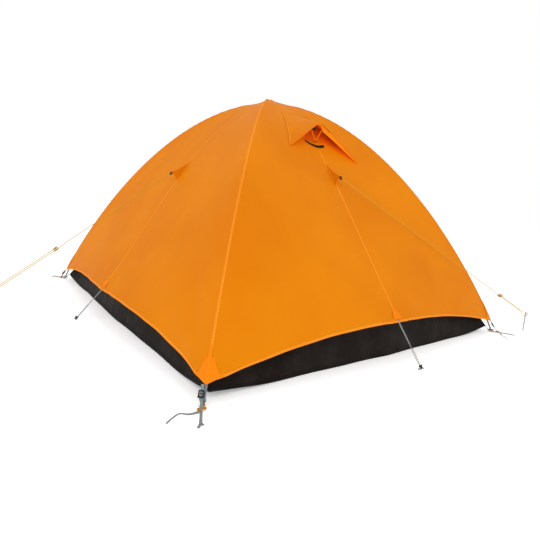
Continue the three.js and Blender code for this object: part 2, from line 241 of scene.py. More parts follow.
class Side(Enum):
    """The four sides of the tent, each by its outward direction."""

    FRONT = (0, -1)
    BACK = (0, 1)
    LEFT = (-1, 0)
    RIGHT = (1, 0)

    @property
    def out(self) -> Vector:
        """The outward direction."""
        return Vector((*self.value, 0))

    @property
    def across(self) -> Vector:
        """The direction in which s grows."""
        return EAST if self.value[0] == 0 else NORTH

    @property
    def short(self) -> bool:
        """Whether this is one of the two short sides."""
        return self.value[0] == 0

    @property
    def tag(self) -> str:
        """The word that ends this side's piece names."""
        return self.name.lower()


class Corner(Enum):
    """The four pole feet, each by the signs of its X and Y."""

    NEAR = (-1, -1)
    LEFT = (-1, 1)
    FAR = (1, 1)
    RIGHT = (1, -1)

    @property
    def tag(self) -> str:
        """The word that ends this corner's piece names."""
        return self.name.lower()

    @property
    def long_side(self) -> Side:
        """The long side that ends at this corner."""
        return Side.LEFT if self.value[0] < 0 else Side.RIGHT

    @property
    def short_side(self) -> Side:
        """The short side that ends at this corner."""
        return Side.FRONT if self.value[1] < 0 else Side.BACK


# ---- colours and materials ----
def linear(code: str) -> tuple[float, float, float, float]:
    """Turns an sRGB hex colour to linear.

    Args:
        code: six hex digits.
    Returns:
        The linear red, green and blue, and an alpha of 1.
    """
    parts = [int(code[i:i + 2], 16) / 255 for i in (0, 2, 4)]
    red, green, blue = [c / 12.92 if c <= 0.04045 else ((c + 0.055) / 1.055) ** 2.4 for c in parts]
    return (red, green, blue, 1.0)


def add_node(tree: Tree, kind: str, inputs: dict | None = None, links: dict | None = None,
             **settings: object) -> Node:
    """Adds a node with its settings and links.

    Args:
        tree: the material's node tree.
        kind: the node's type name.
        inputs: values of its input sockets.
        links: output sockets of other nodes, by the input that each feeds.
        settings: the node's own properties.
    Returns:
        The new node.
    """
    node = tree.nodes.new(kind)
    for key, value in settings.items():
        setattr(node, key, value)
    for key, value in (inputs or {}).items():
        node.inputs[key].default_value = value
    for key, socket in (links or {}).items():
        tree.links.new(socket, node.inputs[key])
    return node


@dataclass(frozen=True)
class Finish:
    """One real material: its name, base colour and surface, with any painted glow: emission in its own colour that
    stands in for light shining through thin cloth.
    """

    name: str
    slot: str
    colour: str
    roughness: float = 0.6
    metallic: float = 0.0
    specular: float = 0.5
    # painted glow: how strongly the cloth gives off light in its own colour, standing in for light shining through it
    glow: float = 0.0

    def material(self) -> bpy.types.Material:
        """Makes the material, or returns it if it is already made.

        Returns:
            The material.
        """
        known = bpy.data.materials.get(self.name)
        if known:
            return known
        material = bpy.data.materials.new(self.name)
        material.use_nodes = True
        tree = material.node_tree
        shader = tree.nodes["Principled BSDF"]
        shader.inputs["Base Color"].default_value = linear(self.colour)
        shader.inputs["Roughness"].default_value = self.roughness
        shader.inputs["Metallic"].default_value = self.metallic
        shader.inputs["Specular IOR Level"].default_value = self.specular
        # Painted glow: the base colour given off as light, standing in for light shining through thin cloth.
        shader.inputs["Emission Color"].default_value = linear(self.colour)
        shader.inputs["Emission Strength"].default_value = self.glow
        for socket, source in self.dress(tree).items():
            tree.links.new(source, shader.inputs[socket])
        return material

    def dress(self, tree: Tree) -> dict[str, Socket]:
        """Adds the surface's own pattern; each finish has its own."""
        return {}


@dataclass(frozen=True)
class CoatedTaffeta(Finish):
    """Coated polyester taffeta: a tight plain weave, matt and faintly crinkled.

    The real threads lie 0.25 mm apart; the weave is drawn at 2.5 mm so that it can show.
    """

    warm: str = "E87A14"
    thread: float = 0.0025
    crinkle: float = 0.045

    def dress(self, tree: Tree) -> dict[str, Socket]:
        """Soft patches of warmer dye, crinkles from packing and the weave.

        Args:
            tree: the material's node tree.
        Returns:
            What feeds the shader's inputs, by name.
        """
        place = add_node(tree, "ShaderNodeTexCoord").outputs["Object"]
        soft = add_node(tree, "ShaderNodeTexNoise", {"Scale": 2.2, "Detail": 3.0}, {"Vector": place})
        ramp = add_node(tree, "ShaderNodeValToRGB", links={"Fac": soft.outputs["Fac"]})
        ramp.color_ramp.elements[0].position = 0.38
        ramp.color_ramp.elements[0].color = linear(self.colour)
        ramp.color_ramp.elements[1].position = 0.66
        ramp.color_ramp.elements[1].color = linear(self.warm)
        crinkle = add_node(
            tree, "ShaderNodeTexNoise", {"Scale": 1 / self.crinkle, "Detail": 5.0, "Roughness": 0.62},
            {"Vector": place})
        folds = add_node(
            tree, "ShaderNodeBump", {"Strength": 0.16, "Distance": 0.004}, {"Height": crinkle.outputs["Fac"]})
        weave = woven(tree, self.thread, self.thread)
        fine = add_node(tree, "ShaderNodeBump", {"Strength": 0.10, "Distance": 0.0004},
                        {"Height": weave, "Normal": folds.outputs["Normal"]})
        gloss = add_node(
            tree, "ShaderNodeMapRange", {"To Min": self.roughness - 0.06, "To Max": self.roughness + 0.08},
            {"Value": crinkle.outputs["Fac"]})
        return {"Base Color": ramp.outputs["Color"], "Normal": fine.outputs["Normal"],
                "Roughness": gloss.outputs["Result"]}


def woven(tree: Tree, warp: float, weft: float) -> Socket:
    """The height of a plain weave over the UV map, which is in metres.

    Args:
        tree: the material's node tree.
        warp: spacing across, in metres.
        weft: spacing along, in metres.
    Returns:
        The socket that carries the height.
    """
    place = add_node(tree, "ShaderNodeUVMap").outputs["UV"]
    turns = math.tau / 20  # a wave node's own scale counts bands of a twentieth of a turn
    bands = [
        add_node(tree, "ShaderNodeTexWave", {"Scale": turns / spacing}, {"Vector": place},
                 bands_direction=axis)
        for axis, spacing in (("X", warp), ("Y", weft))
    ]
    both = add_node(
        tree, "ShaderNodeMath", links={0: bands[0].outputs["Fac"], 1: bands[1].outputs["Fac"]},
        operation="MULTIPLY")
    return both.outputs["Value"]


@dataclass(frozen=True)
class SewnBinding(CoatedTaffeta):
    """A folded strip of the same taffeta, with two rows of stitches."""

    stitch: float = 0.006
    row: float = 0.0035

    def dress(self, tree: Tree) -> dict[str, Socket]:
        """The taffeta's own surface with two rows of lighter stitches.

        Args:
            tree: the material's node tree.
        Returns:
            What feeds the shader's inputs, by name.
        """
        sockets = super().dress(tree)
        place = add_node(tree, "ShaderNodeUVMap").outputs["UV"]
        axes = add_node(tree, "ShaderNodeSeparateXYZ", links={"Vector": place})
        along = add_node(
            tree, "ShaderNodeMath", {1: self.stitch}, {0: axes.outputs["Y"]}, operation="PINGPONG")
        dash = add_node(tree, "ShaderNodeMath", {1: self.stitch * 0.4}, {0: along.outputs["Value"]},
                        operation="GREATER_THAN")
        middle = add_node(tree, "ShaderNodeMath", {1: self.row}, {0: axes.outputs["X"]}, operation="PINGPONG")
        line = add_node(tree, "ShaderNodeMath", {1: self.row * 0.72}, {0: middle.outputs["Value"]},
                        operation="GREATER_THAN")
        thread = add_node(
            tree, "ShaderNodeMath", links={0: dash.outputs["Value"], 1: line.outputs["Value"]},
            operation="MULTIPLY")
        mixed = add_node(tree, "ShaderNodeMixRGB", {"Color2": linear(SEWING_THREAD)},
                         {"Fac": thread.outputs["Value"], "Color1": sockets["Base Color"]})
        return {**sockets, "Base Color": mixed.outputs["Color"]}


@dataclass(frozen=True)
class CoatedOxford(Finish):
    """Coated oxford nylon of the floor: a heavy basket weave, dull black-brown, dusty on its folds."""

    thread: float = 0.003
    dust: str = "3A3632"

    def dress(self, tree: Tree) -> dict[str, Socket]:
        """Dust in soft clouds, creases and the basket weave, drawn coarser than its 0.5 mm.

        Args:
            tree: the material's node tree.
        Returns:
            What feeds the shader's inputs, by name.
        """
        place = add_node(tree, "ShaderNodeTexCoord").outputs["Object"]
        cloud = add_node(tree, "ShaderNodeTexNoise", {"Scale": 9.0, "Detail": 4.0}, {"Vector": place})
        ramp = add_node(tree, "ShaderNodeValToRGB", links={"Fac": cloud.outputs["Fac"]})
        ramp.color_ramp.elements[0].position = 0.42
        ramp.color_ramp.elements[0].color = linear(self.colour)
        ramp.color_ramp.elements[1].position = 0.72
        ramp.color_ramp.elements[1].color = linear(self.dust)
        creases = add_node(
            tree, "ShaderNodeTexNoise", {"Scale": 26.0, "Detail": 6.0, "Distortion": 0.6}, {"Vector": place})
        folds = add_node(
            tree, "ShaderNodeBump", {"Strength": 0.45, "Distance": 0.006}, {"Height": creases.outputs["Fac"]})
        fine = add_node(tree, "ShaderNodeBump", {"Strength": 0.25, "Distance": 0.0006},
                        {"Height": woven(tree, self.thread, self.thread), "Normal": folds.outputs["Normal"]})
        return {"Base Color": ramp.outputs["Color"], "Normal": fine.outputs["Normal"]}


@dataclass(frozen=True)
class BreathableNylon(Finish):
    """Uncoated inner-tent nylon: pale, thin and matt, with a ripstop grid every 5 mm, drawn at 10 mm."""

    grid: float = 0.010

    def dress(self, tree: Tree) -> dict[str, Socket]:
        """The raised ripstop threads and a slight unevenness of tone.

        Args:
            tree: the material's node tree.
        Returns:
            What feeds the shader's inputs, by name.
        """
        place = add_node(tree, "ShaderNodeUVMap").outputs["UV"]
        axes = add_node(tree, "ShaderNodeSeparateXYZ", links={"Vector": place})
        lines = []
        for axis in ("X", "Y"):
            fold = add_node(
                tree, "ShaderNodeMath", {1: self.grid / 2}, {0: axes.outputs[axis]}, operation="PINGPONG")
            lines.append(add_node(tree, "ShaderNodeMath", {1: self.grid * 0.06}, {0: fold.outputs["Value"]},
                                  operation="LESS_THAN"))
        grid = add_node(
            tree, "ShaderNodeMath", links={0: lines[0].outputs["Value"], 1: lines[1].outputs["Value"]},
            operation="MAXIMUM")
        tone = add_node(tree, "ShaderNodeMixRGB", {"Color1": linear(self.colour), "Color2": linear("C9C5B8")},
                        {"Fac": grid.outputs["Value"]})
        bump = add_node(
            tree, "ShaderNodeBump", {"Strength": 0.3, "Distance": 0.0005}, {"Height": grid.outputs["Value"]})
        return {"Base Color": tone.outputs["Color"], "Normal": bump.outputs["Normal"]}


@dataclass(frozen=True)
class WovenWebbing(Finish):
    """Polypropylene webbing: ribs across every 1.6 mm, with painted shade in the grooves between them, and a slight
    fuzz.
    """

    rib: float = 0.0016
    # painted shade: the colour of the grooves between the threads
    dark: str = "5C5C5A"

    def dress(self, tree: Tree) -> dict[str, Socket]:
        """Ribs from the weave, with painted shade in the grooves between the threads, and soft patches of wear.

        Args:
            tree: the material's node tree.
        Returns:
            What feeds the shader's inputs, by name.
        """
        height = woven(tree, self.rib * 1.5, self.rib)
        # Painted shade: the low parts of the weave take the darker colour.
        tone = add_node(
            tree, "ShaderNodeMixRGB", {"Color1": linear(self.dark), "Color2": linear(self.colour)},
            {"Fac": height})
        place = add_node(tree, "ShaderNodeTexCoord").outputs["Object"]
        wear = add_node(tree, "ShaderNodeTexNoise", {"Scale": 60.0, "Detail": 3.0}, {"Vector": place})
        worn = add_node(tree, "ShaderNodeMixRGB", {"Color2": linear("A9A9A4")},
                        {"Fac": wear.outputs["Fac"], "Color1": tone.outputs["Color"]}, blend_type="OVERLAY")
        bump = add_node(tree, "ShaderNodeBump", {"Strength": 0.7, "Distance": 0.0008}, {"Height": height})
        return {"Base Color": worn.outputs["Color"], "Normal": bump.outputs["Normal"]}


@dataclass(frozen=True)
class BraidedCord(Finish):
    """Braided polyester guy line: slanted plaits about 2 mm long, pale with an orange tracer."""

    plait: float = 0.002
    tracer: str = "E0942E"

    def dress(self, tree: Tree) -> dict[str, Socket]:
        """Diagonal plaits from two waves over the UV map.

        Args:
            tree: the material's node tree.
        Returns:
            What feeds the shader's inputs, by name.
        """
        place = add_node(tree, "ShaderNodeUVMap").outputs["UV"]
        slant = add_node(tree, "ShaderNodeMapping", {"Rotation": (0, 0, 0.9)}, {"Vector": place})
        wave = add_node(tree, "ShaderNodeTexWave", {"Scale": math.tau / 20 / self.plait},
                        {"Vector": slant.outputs["Vector"]})
        tone = add_node(
            tree, "ShaderNodeMixRGB", {"Color1": linear(self.tracer), "Color2": linear(self.colour)},
            {"Fac": wave.outputs["Fac"]})
        bump = add_node(
            tree, "ShaderNodeBump", {"Strength": 0.6, "Distance": 0.0006}, {"Height": wave.outputs["Fac"]})
        return {"Base Color": tone.outputs["Color"], "Normal": bump.outputs["Normal"]}


@dataclass(frozen=True)
class MouldedAcetal(Finish):
    """Injection-moulded acetal: black, satin, with the mould's fine spark texture of 0.3 mm."""

    grain: float = 0.0006

    def dress(self, tree: Tree) -> dict[str, Socket]:
        """The spark texture, drawn at 0.6 mm, and scuffs that dull the gloss.

        Args:
            tree: the material's node tree.
        Returns:
            What feeds the shader's inputs, by name.
        """
        place = add_node(tree, "ShaderNodeTexCoord").outputs["Object"]
        spark = add_node(tree, "ShaderNodeTexVoronoi", {"Scale": 1 / self.grain}, {"Vector": place})
        bump = add_node(tree, "ShaderNodeBump", {"Strength": 0.25, "Distance": 0.0003},
                        {"Height": spark.outputs["Distance"]})
        scuff = add_node(tree, "ShaderNodeTexNoise", {"Scale": 140.0, "Detail": 4.0}, {"Vector": place})
        gloss = add_node(
            tree, "ShaderNodeMapRange", {"To Min": self.roughness - 0.1, "To Max": self.roughness + 0.2},
            {"Value": scuff.outputs["Fac"]})
        return {"Normal": bump.outputs["Normal"], "Roughness": gloss.outputs["Result"]}


@dataclass(frozen=True)
class AnodisedAluminium(Finish):
    """Anodised aluminium: drawn or forged, satin, with fine handling scratches."""

    scratch: float = 0.004

    def dress(self, tree: Tree) -> dict[str, Socket]:
        """Scratches stretched along the part and soft changes of the anodising's gloss.

        Args:
            tree: the material's node tree.
        Returns:
            What feeds the shader's inputs, by name.
        """
        place = add_node(tree, "ShaderNodeTexCoord").outputs["Object"]
        marks = add_node(
            tree, "ShaderNodeTexNoise", {"Scale": 1 / self.scratch, "Detail": 6.0, "Roughness": 0.7},
            {"Vector": place})
        gloss = add_node(
            tree, "ShaderNodeMapRange", {"To Min": self.roughness - 0.08, "To Max": self.roughness + 0.14},
            {"Value": marks.outputs["Fac"]})
        bump = add_node(
            tree, "ShaderNodeBump", {"Strength": 0.12, "Distance": 0.0003}, {"Height": marks.outputs["Fac"]})
        return {"Roughness": gloss.outputs["Result"], "Normal": bump.outputs["Normal"]}


@dataclass(frozen=True)
class KnittedNetting(Finish):
    """Fine knitted mosquito netting: black, with holes of 1 mm drawn at 3 mm as a darker pattern."""

    hole: float = 0.003

    def dress(self, tree: Tree) -> dict[str, Socket]:
        """Threads slightly lighter than the holes between them.

        Args:
            tree: the material's node tree.
        Returns:
            What feeds the shader's inputs, by name.
        """
        place = add_node(tree, "ShaderNodeUVMap").outputs["UV"]
        cells = add_node(
            tree, "ShaderNodeTexVoronoi", {"Scale": 1 / self.hole, "Randomness": 0.2}, {"Vector": place})
        ramp = add_node(tree, "ShaderNodeValToRGB", links={"Fac": cells.outputs["Distance"]})
        ramp.color_ramp.elements[0].color = linear("040404")
        ramp.color_ramp.elements[1].color = linear(self.colour)
        bump = add_node(tree, "ShaderNodeBump", {"Strength": 0.8, "Distance": 0.0008},
                        {"Height": cells.outputs["Distance"]})
        return {"Base Color": ramp.outputs["Color"], "Normal": bump.outputs["Normal"]}


TAFFETA = CoatedTaffeta("orange coated taffeta", "fly_fabric", "DC7F07", 0.55, specular=0.03, warm="D57606")
# Painted shade and glow: a deeper, redder copy of the taffeta that gives off light, for the hood's shaded underside
# and the wall beneath it.
SHADED_GLOWING_TAFFETA = CoatedTaffeta(
    "shaded coated taffeta", "fly_fabric", "DE6A08", 0.6, specular=0.03, warm="D65E06", glow=0.08)
PATCH = CoatedTaffeta("doubled taffeta patch", "fly_fabric", "F0830F", 0.55, specular=0.03, warm="E87C0C")
BINDING = SewnBinding("stitched taffeta binding", "fly_fabric", "EC8A14", 0.55, specular=0.03, warm="E68010")
# Painted glow: the facing gives off light in its own colour, standing in for light shining through the brim's cloth.
GLOWING_FACING = SewnBinding(
    "turned-in hood facing", "fly_fabric", "EC7A0C", 0.55, specular=0.03, warm="E4700A", glow=0.50)
OXFORD = CoatedOxford("coated oxford nylon", "floor_fabric", "1B1512", 0.6, specular=0.06, dust="2A2420")
OXFORD_FOLD = CoatedOxford("folded oxford edge", "floor_fabric", "15110F", 0.55, specular=0.06, dust="221D1A")
# Painted glow: the inner tent's nylon gives off a little light, standing in for light shining through it.
GLOWING_NYLON = BreathableNylon("breathable ripstop nylon", "inner_fabric", "D2CFC4", 0.75, specular=0.2, glow=0.12)
WEBBING = WovenWebbing("grey polypropylene webbing", "webbing", "B6BBB9", 0.85, dark="787D7B")
CORD = BraidedCord("braided polyester cord", "guy_cord", "DCAE38", 0.7, specular=0.1, tracer="B88A24")
GREY_CORD = BraidedCord("grey braided cord", "webbing", "8E8E8C", 0.8, tracer="5A5A58")
BLACK_CORD = BraidedCord("black braided cord", "black_plastic", "1C1C1E", 0.7, tracer="0C0C0E")
CORD_LOCK = MouldedAcetal("moulded yellow line lock", "black_plastic", "B48A34", 0.45, specular=0.2)
ACETAL = MouldedAcetal("moulded black acetal", "black_plastic", "0B0B0C", 0.42, specular=0.22)
GOLD = AnodisedAluminium("gold anodised aluminium", "gold_alloy", "D08C10", 0.3, 1.0)
SILVER = AnodisedAluminium("satin anodised aluminium", "pole_alloy", "7E8084", 0.3, 1.0)
STEEL = AnodisedAluminium("bright steel stake", "pole_alloy", "C2C4C6", 0.35, 1.0)
DARK_SILVER = AnodisedAluminium("grey anodised ferrule", "pole_alloy", "6E7176", 0.34, 1.0)
NETTING = KnittedNetting("black knitted netting", "black_plastic", "161616", 0.9, specular=0.1)
ZIP_TAPE = WovenWebbing("woven zip tape", "webbing", "6A4A22", 0.8, dark="3E2A14", rib=0.0012)


# ---- making meshes ----
def finish_mesh(name: str, bm: BMesh, finish: Finish, smooth: bool = True) -> Piece:
    """Turns a bmesh into a dressed object.

    Args:
        name: the piece's name.
        bm: the mesh, which is freed.
        finish: its material.
        smooth: whether it is shaded smooth.
    Returns:
        The new object, linked to the scene.
    """
    mesh = bpy.data.meshes.new(name)
    bmesh.ops.recalc_face_normals(bm, faces=bm.faces[:])
    for face in bm.faces:
        face.smooth = smooth
    for edge in bm.edges:
        edge.smooth = edge.calc_face_angle(0.0) < SHARP_EDGE
    bm.to_mesh(mesh)
    bm.free()
    mesh.materials.append(finish.material())
    piece = bpy.data.objects.new(name, mesh)
    bpy.context.scene.collection.objects.link(piece)
    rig.slot(piece, finish.slot)
    return piece


def mount(body: str, pieces: Sequence[Piece], *nodes: str) -> None:
    """Lets pieces ride a body, the first of them in place of some CAD nodes.

    Args:
        body: the body's name.
        pieces: the pieces.
        nodes: the CAD nodes that the first piece stands for.
    """
    for piece in pieces:
        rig.ride(piece, body)
    if nodes:
        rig.replaces(pieces[0], *nodes)


def spaced(low: float, high: float, count: int) -> list[float]:
    """Evenly spaced values from low to high, count + 1 of them."""
    return [low + (high - low) * i / count for i in range(count + 1)]


def normal_at(at: Point, u: float, v: float, du: float, dv: float, inside: Vector) -> Vector:
    """The outward normal of a surface given by a function.

    Args:
        at: the surface.
        u: place across.
        v: place along.
        du: step across for the slope.
        dv: step along for the slope.
        inside: a point on the inner side of the surface.
    Returns:
        The unit normal.
    """
    across = at(u + du, v) - at(u - du, v)
    along = at(u, v + dv) - at(u, v - dv)
    normal = across.cross(along)
    if normal.length < TINY:
        return (at(u, v) - inside).normalized()
    normal.normalize()
    return normal if normal.dot(at(u, v) - inside) > 0 else -normal


def skin(name: str, at: Point, us: Sequence[float], vs: Sequence[float], finish: Finish, *,
         lift: float = 0.0008,
         thick: float = 0.0006, pad: Callable[[float, float], float] | None = None,
         inside: Vector = Vector((0, 0, 0.35)), round_edge: float = 0.0) -> Piece:
    """A closed thin sheet that follows a surface, with UVs in metres.

    Args:
        name: the piece's name.
        at: the surface that it follows.
        us: places across.
        vs: places along.
        finish: its material.
        lift: how far its underside stands off the surface.
        thick: its thickness.
        pad: extra height over the surface at a place.
        inside: a point on the inner side of the surface.
        round_edge: how far its two long edges bend down to the surface.
    Returns:
        The new piece.
    """
    bm = bmesh.new()
    du = (us[-1] - us[0]) / len(us) * 0.5
    dv = (vs[-1] - vs[0]) / len(vs) * 0.5
    tops: list[list[BMVert]] = []
    unders: list[list[BMVert]] = []
    for v in vs:
        top_row, under_row = [], []
        for i, u in enumerate(us):
            place = at(u, v)
            normal = normal_at(at, u, v, du, dv, inside)
            extra = pad(u, v) if pad else 0.0
            edge = round_edge if i in (0, len(us) - 1) else 0.0
            top_row.append(bm.verts.new(place + normal * (lift + thick + extra - edge)))
            under_row.append(bm.verts.new(place + normal * (lift + extra - edge)))
        tops.append(top_row)
        unders.append(under_row)
    middle_row, middle_col = len(vs) // 2, len(us) // 2
    u_len, v_len = [0.0], [0.0]
    for i in range(1, len(us)):
        u_len.append(u_len[-1] + (tops[middle_row][i].co - tops[middle_row][i - 1].co).length)
    for j in range(1, len(vs)):
        v_len.append(v_len[-1] + (tops[j][middle_col].co - tops[j - 1][middle_col].co).length)
    layer = bm.loops.layers.uv.new("UVMap")
    where: dict[BMVert, tuple[float, float]] = {}
    for j in range(len(vs)):
        for i in range(len(us)):
            where[tops[j][i]] = (u_len[i] - u_len[-1] / 2, v_len[j])
            where[unders[j][i]] = where[tops[j][i]]
    rows, cols = len(vs) - 1, len(us) - 1
    quads = []
    for j in range(rows):
        for i in range(cols):
            quads.append((tops[j][i], tops[j][i + 1], tops[j + 1][i + 1], tops[j + 1][i]))
            quads.append((unders[j][i], unders[j + 1][i], unders[j + 1][i + 1], unders[j][i + 1]))
        quads.append((tops[j][0], tops[j + 1][0], unders[j + 1][0], unders[j][0]))
        quads.append((tops[j][cols], unders[j][cols], unders[j + 1][cols], tops[j + 1][cols]))
    for i in range(cols):
        quads.append((tops[0][i], unders[0][i], unders[0][i + 1], tops[0][i + 1]))
        quads.append((tops[rows][i], tops[rows][i + 1], unders[rows][i + 1], unders[rows][i]))
    for quad in quads:
        face = bm.faces.new(quad)
        for loop in face.loops:
            loop[layer].uv = where[loop.vert]
    return finish_mesh(name, bm, finish)


def spline(points: Sequence[Vector], step: float = 0.004) -> list[Vector]:
    """A smooth curve through given points, sampled about every step metres.

    Args:
        points: the points that it passes through.
        step: how far apart it is sampled.
    Returns:
        The points of the curve.
    """
    ends = [points[0] * 2 - points[1], *points, points[-1] * 2 - points[-2]]
    line = [points[0].copy()]
    for i in range(1, len(ends) - 2):
        a, b, c, d = ends[i - 1:i + 3]
        count = max(2, math.ceil((c - b).length / step))
        for k in range(1, count + 1):
            t = k / count
            line.append(0.5 * (2 * b + (c - a) * t + (2 * a - 5 * b + 4 * c - d) * t * t
                               + (3 * b - a - 3 * c + d) * t ** 3))
    return line


def sweep(bm: BMesh, line: Sequence[Vector], section: Sequence[tuple[float, float]],
          side: Vector | None = None, scale: Callable[[float], float] = lambda t: 1.0,
          loop: bool = False) -> None:
    """Sweeps a closed section along a line into a mesh, with UVs in metres.

    Args:
        bm: the mesh that it is added to.
        line: centre points.
        section: the outline, as offsets across and up.
        side: the direction across at the start, which is carried along the line.
        scale: the section's size at a share of the length.
        loop: whether the line closes on itself.
    """
    layer = bm.loops.layers.uv.verify()
    count = len(line)
    rings, lengths = [], [0.0]
    last = None
    for i, place in enumerate(line):
        ahead = line[(i + 1) % count] if loop else line[min(i + 1, count - 1)]
        behind = line[i - 1] if loop or i else line[0]
        along = (ahead - behind).normalized()
        across = last or side or along.orthogonal()
        across = (across - along * across.dot(along)).normalized()
        last = across
        up = across.cross(along)
        size = scale(i / (count - 1))
        rings.append([bm.verts.new(place + (across * a + up * b) * size) for a, b in section])
        if i:
            lengths.append(lengths[-1] + (place - line[i - 1]).length)
    around = [0.0]
    for (a, b), (c, d) in zip(section, [*section[1:], section[0]]):
        around.append(around[-1] + math.hypot(c - a, d - b))
    sides = len(section)
    for i in range(count if loop else count - 1):
        j = (i + 1) % count
        for k in range(sides):
            m = (k + 1) % sides
            face = bm.faces.new((rings[i][k], rings[i][m], rings[j][m], rings[j][k]))
            top = lengths[i] + (line[j] - line[i]).length
            for spot, uv in zip(face.loops, ((around[k], lengths[i]), (around[k + 1], lengths[i]),
                                             (around[k + 1], top), (around[k], top))):
                spot[layer].uv = uv
    if not loop:
        bm.faces.new(rings[0][::-1])
        bm.faces.new(rings[-1])


def circle(radius: float, sides: int = 12) -> list[tuple[float, float]]:
    """A round section."""
    return [(radius * math.cos(math.tau * k / sides), radius * math.sin(math.tau * k / sides))
            for k in range(sides)]


def flat_oval(width: float, thick: float) -> list[tuple[float, float]]:
    """A flat section with rounded edges and a slightly crowned face, for webbing and tape.

    Args:
        width: its width.
        thick: its thickness.
    Returns:
        The outline, as offsets across and up.
    """
    a, b = width / 2, thick / 2
    upper = [
        (-a, 0.0), (-a * 0.94, b * 0.8), (-a * 0.5, b), (0.0, b * 1.1), (a * 0.5, b), (a * 0.94, b * 0.8)]
    return upper + [(-x, -y) for x, y in upper]


def strap(name: str, points: Sequence[Vector], side: Vector, finish: Finish = WEBBING,
          width: float = WEB_WIDTH,
          thick: float = WEB_THICK, scale: Callable[[float], float] = lambda t: 1.0) -> Piece:
    """A strap of webbing along given points.

    Args:
        name: the piece's name.
        points: the points that it passes through.
        side: the direction across it at its start.
        finish: its material.
        width: its width.
        thick: its thickness.
        scale: its section's size at a share of the length.
    Returns:
        The new piece.
    """
    bm = bmesh.new()
    sweep(bm, spline(points), flat_oval(width, thick), side, scale)
    return finish_mesh(name, bm, finish)


def tube(name: str, lines: Iterable[Sequence[Vector]], radius: float, finish: Finish,
         scale: Callable[[float], float] = lambda t: 1.0, sides: int = 12) -> Piece:
    """One or more round bars or cords as one piece.

    Args:
        name: the piece's name.
        lines: centre lines.
        radius: its radius.
        finish: its material.
        scale: its section's size at a share of the length.
        sides: how many sides its section has.
    Returns:
        The new piece.
    """
    bm = bmesh.new()
    for line in lines:
        sweep(bm, line, circle(radius, sides), scale=scale)
    return finish_mesh(name, bm, finish)


def lathe(bm: BMesh, base: Vector, axis: Vector, profile: Sequence[tuple[float, float]],
          sides: int = 24) -> None:
    """Turns a profile of (distance along, radius) about an axis into a mesh.

    Args:
        bm: the mesh that it is added to.
        base: where the profile starts on the axis.
        axis: the direction of the axis.
        profile: its outline, as distances along the axis and radii.
        sides: how many sides it has.
    """
    up = axis.normalized()
    line = [base + up * along for along, _ in profile]
    radii = [radius for _, radius in profile]
    layer = bm.loops.layers.uv.verify()
    across = up.orthogonal().normalized()
    other = across.cross(up)
    rings = []
    for place, radius in zip(line, radii):
        turns = [math.tau * k / sides for k in range(sides)]
        rings.append([bm.verts.new(place + (across * math.cos(a) + other * math.sin(a)) * max(radius, 1e-5))
                      for a in turns])
    for i in range(len(rings) - 1):
        for k in range(sides):
            m = (k + 1) % sides
            face = bm.faces.new((rings[i][k], rings[i][m], rings[i + 1][m], rings[i + 1][k]))
            for spot in face.loops:
                spot[layer].uv = (k / sides * math.tau * 0.005, (spot.vert.co - base).dot(up))
    bm.faces.new(rings[0][::-1])
    bm.faces.new(rings[-1])


def rounded_block(bm: BMesh, centre: Vector, axes: tuple[Vector, Vector, Vector],
                  size: tuple[float, float, float], edge: float) -> None:
    """A moulded block with rounded edges.

    Args:
        bm: the mesh that it is added to.
        centre: its middle.
        axes: unit directions of its length, width and height.
        size: its length, width and height.
        edge: the radius of its edges.
    """
    place = Matrix.Identity(4)
    for column, (axis, length) in enumerate(zip(axes, size)):
        for row in range(3):
            place[row][column] = axis[row] * length
        place[column][3] = centre[column]
    made = bmesh.ops.create_cube(bm, size=1.0, matrix=place)
    edges = {e for v in made["verts"] for e in v.link_edges}
    bmesh.ops.bevel(bm, geom=list(edges), offset=edge, segments=3, profile=0.5, affect="EDGES")


# ---- the dome's shape ----
@dataclass(frozen=True)
class Dome:
    """A skin pitched over two crossing poles."""

    x: float
    y: float
    top: float
    shoulder: float
    peak: float
    out_power: float = 1.064
    up_power: float = 1.856
    flare: float = 0.19
    fade: float = 0.36
    saddle: float = 0.06

    def arch(self, z: float) -> float:
        """How far out a pole's arch is at a height, 1 at the foot and 0 at the crossing."""
        rise = min(max(z / self.top, 0.0), 1.0)
        return max(0.0, math.cos(math.asin(rise ** (1 / self.up_power)))) ** self.out_power

    def ridge(self, z: float) -> float:
        """How far out a panel's ridge is at a height, drawn up into the peak at the top.

        Args:
            z: height.
        Returns:
            The share of the foot's distance.
        """
        if z <= self.shoulder:
            return self.arch(z)
        left = max(0.0, (self.peak - z) / (self.peak - self.shoulder))
        return self.arch(self.shoulder) * left ** 1.5

    def middle(self, z: float) -> float:
        """How far out the middle of a panel is at a height.

        Args:
            z: height.
        Returns:
            The share of the foot's distance.
        """
        out = self.ridge(z)
        pull = self.flare * math.exp(-z / self.fade) - self.saddle
        return out + pull * min(1.0, out / 0.3)

    def at(self, side: Side, s: float, z: float) -> Vector:
        """A place on a panel between its two ridges.

        Args:
            side: the panel's side.
            s: place across, from -1 at one ridge to 1 at the other.
            z: height.
        Returns:
            The place.
        """
        out, centre = self.ridge(z), self.middle(z)
        bend = min(0.85, z / 0.9)
        w = abs(s)
        depth = centre + (out - centre) * ((1 - bend) * w + bend * w * w)
        x, y = side.value
        if side.short:
            return Vector((s * out * self.x, y * self.y * depth, z))
        return Vector((x * self.x * depth, s * out * self.y, z))

    def width(self, side: Side, z: float) -> float:
        """Half the distance between a panel's two ridges at a height."""
        return self.ridge(z) * (self.x if side.short else self.y)


FLY = Dome(FOOT_X, FOOT_Y, FLY_TOP, SHOULDER, PEAK)
INNER_TOP = FLY_TOP - INNER_INSET
INNER = Dome(FOOT_X - INNER_INSET, FOOT_Y - INNER_INSET, INNER_TOP, INNER_TOP - 0.008, INNER_TOP + 0.002)


def hem_height(side: Side, s: float) -> float:
    """Height of the flysheet's hem at a place across a side."""
    middle, power = (0.165, 2.2) if side.short else (0.142, 3.0)
    return middle - (middle - HEM_CORNER) * min(abs(s), 1.0) ** power


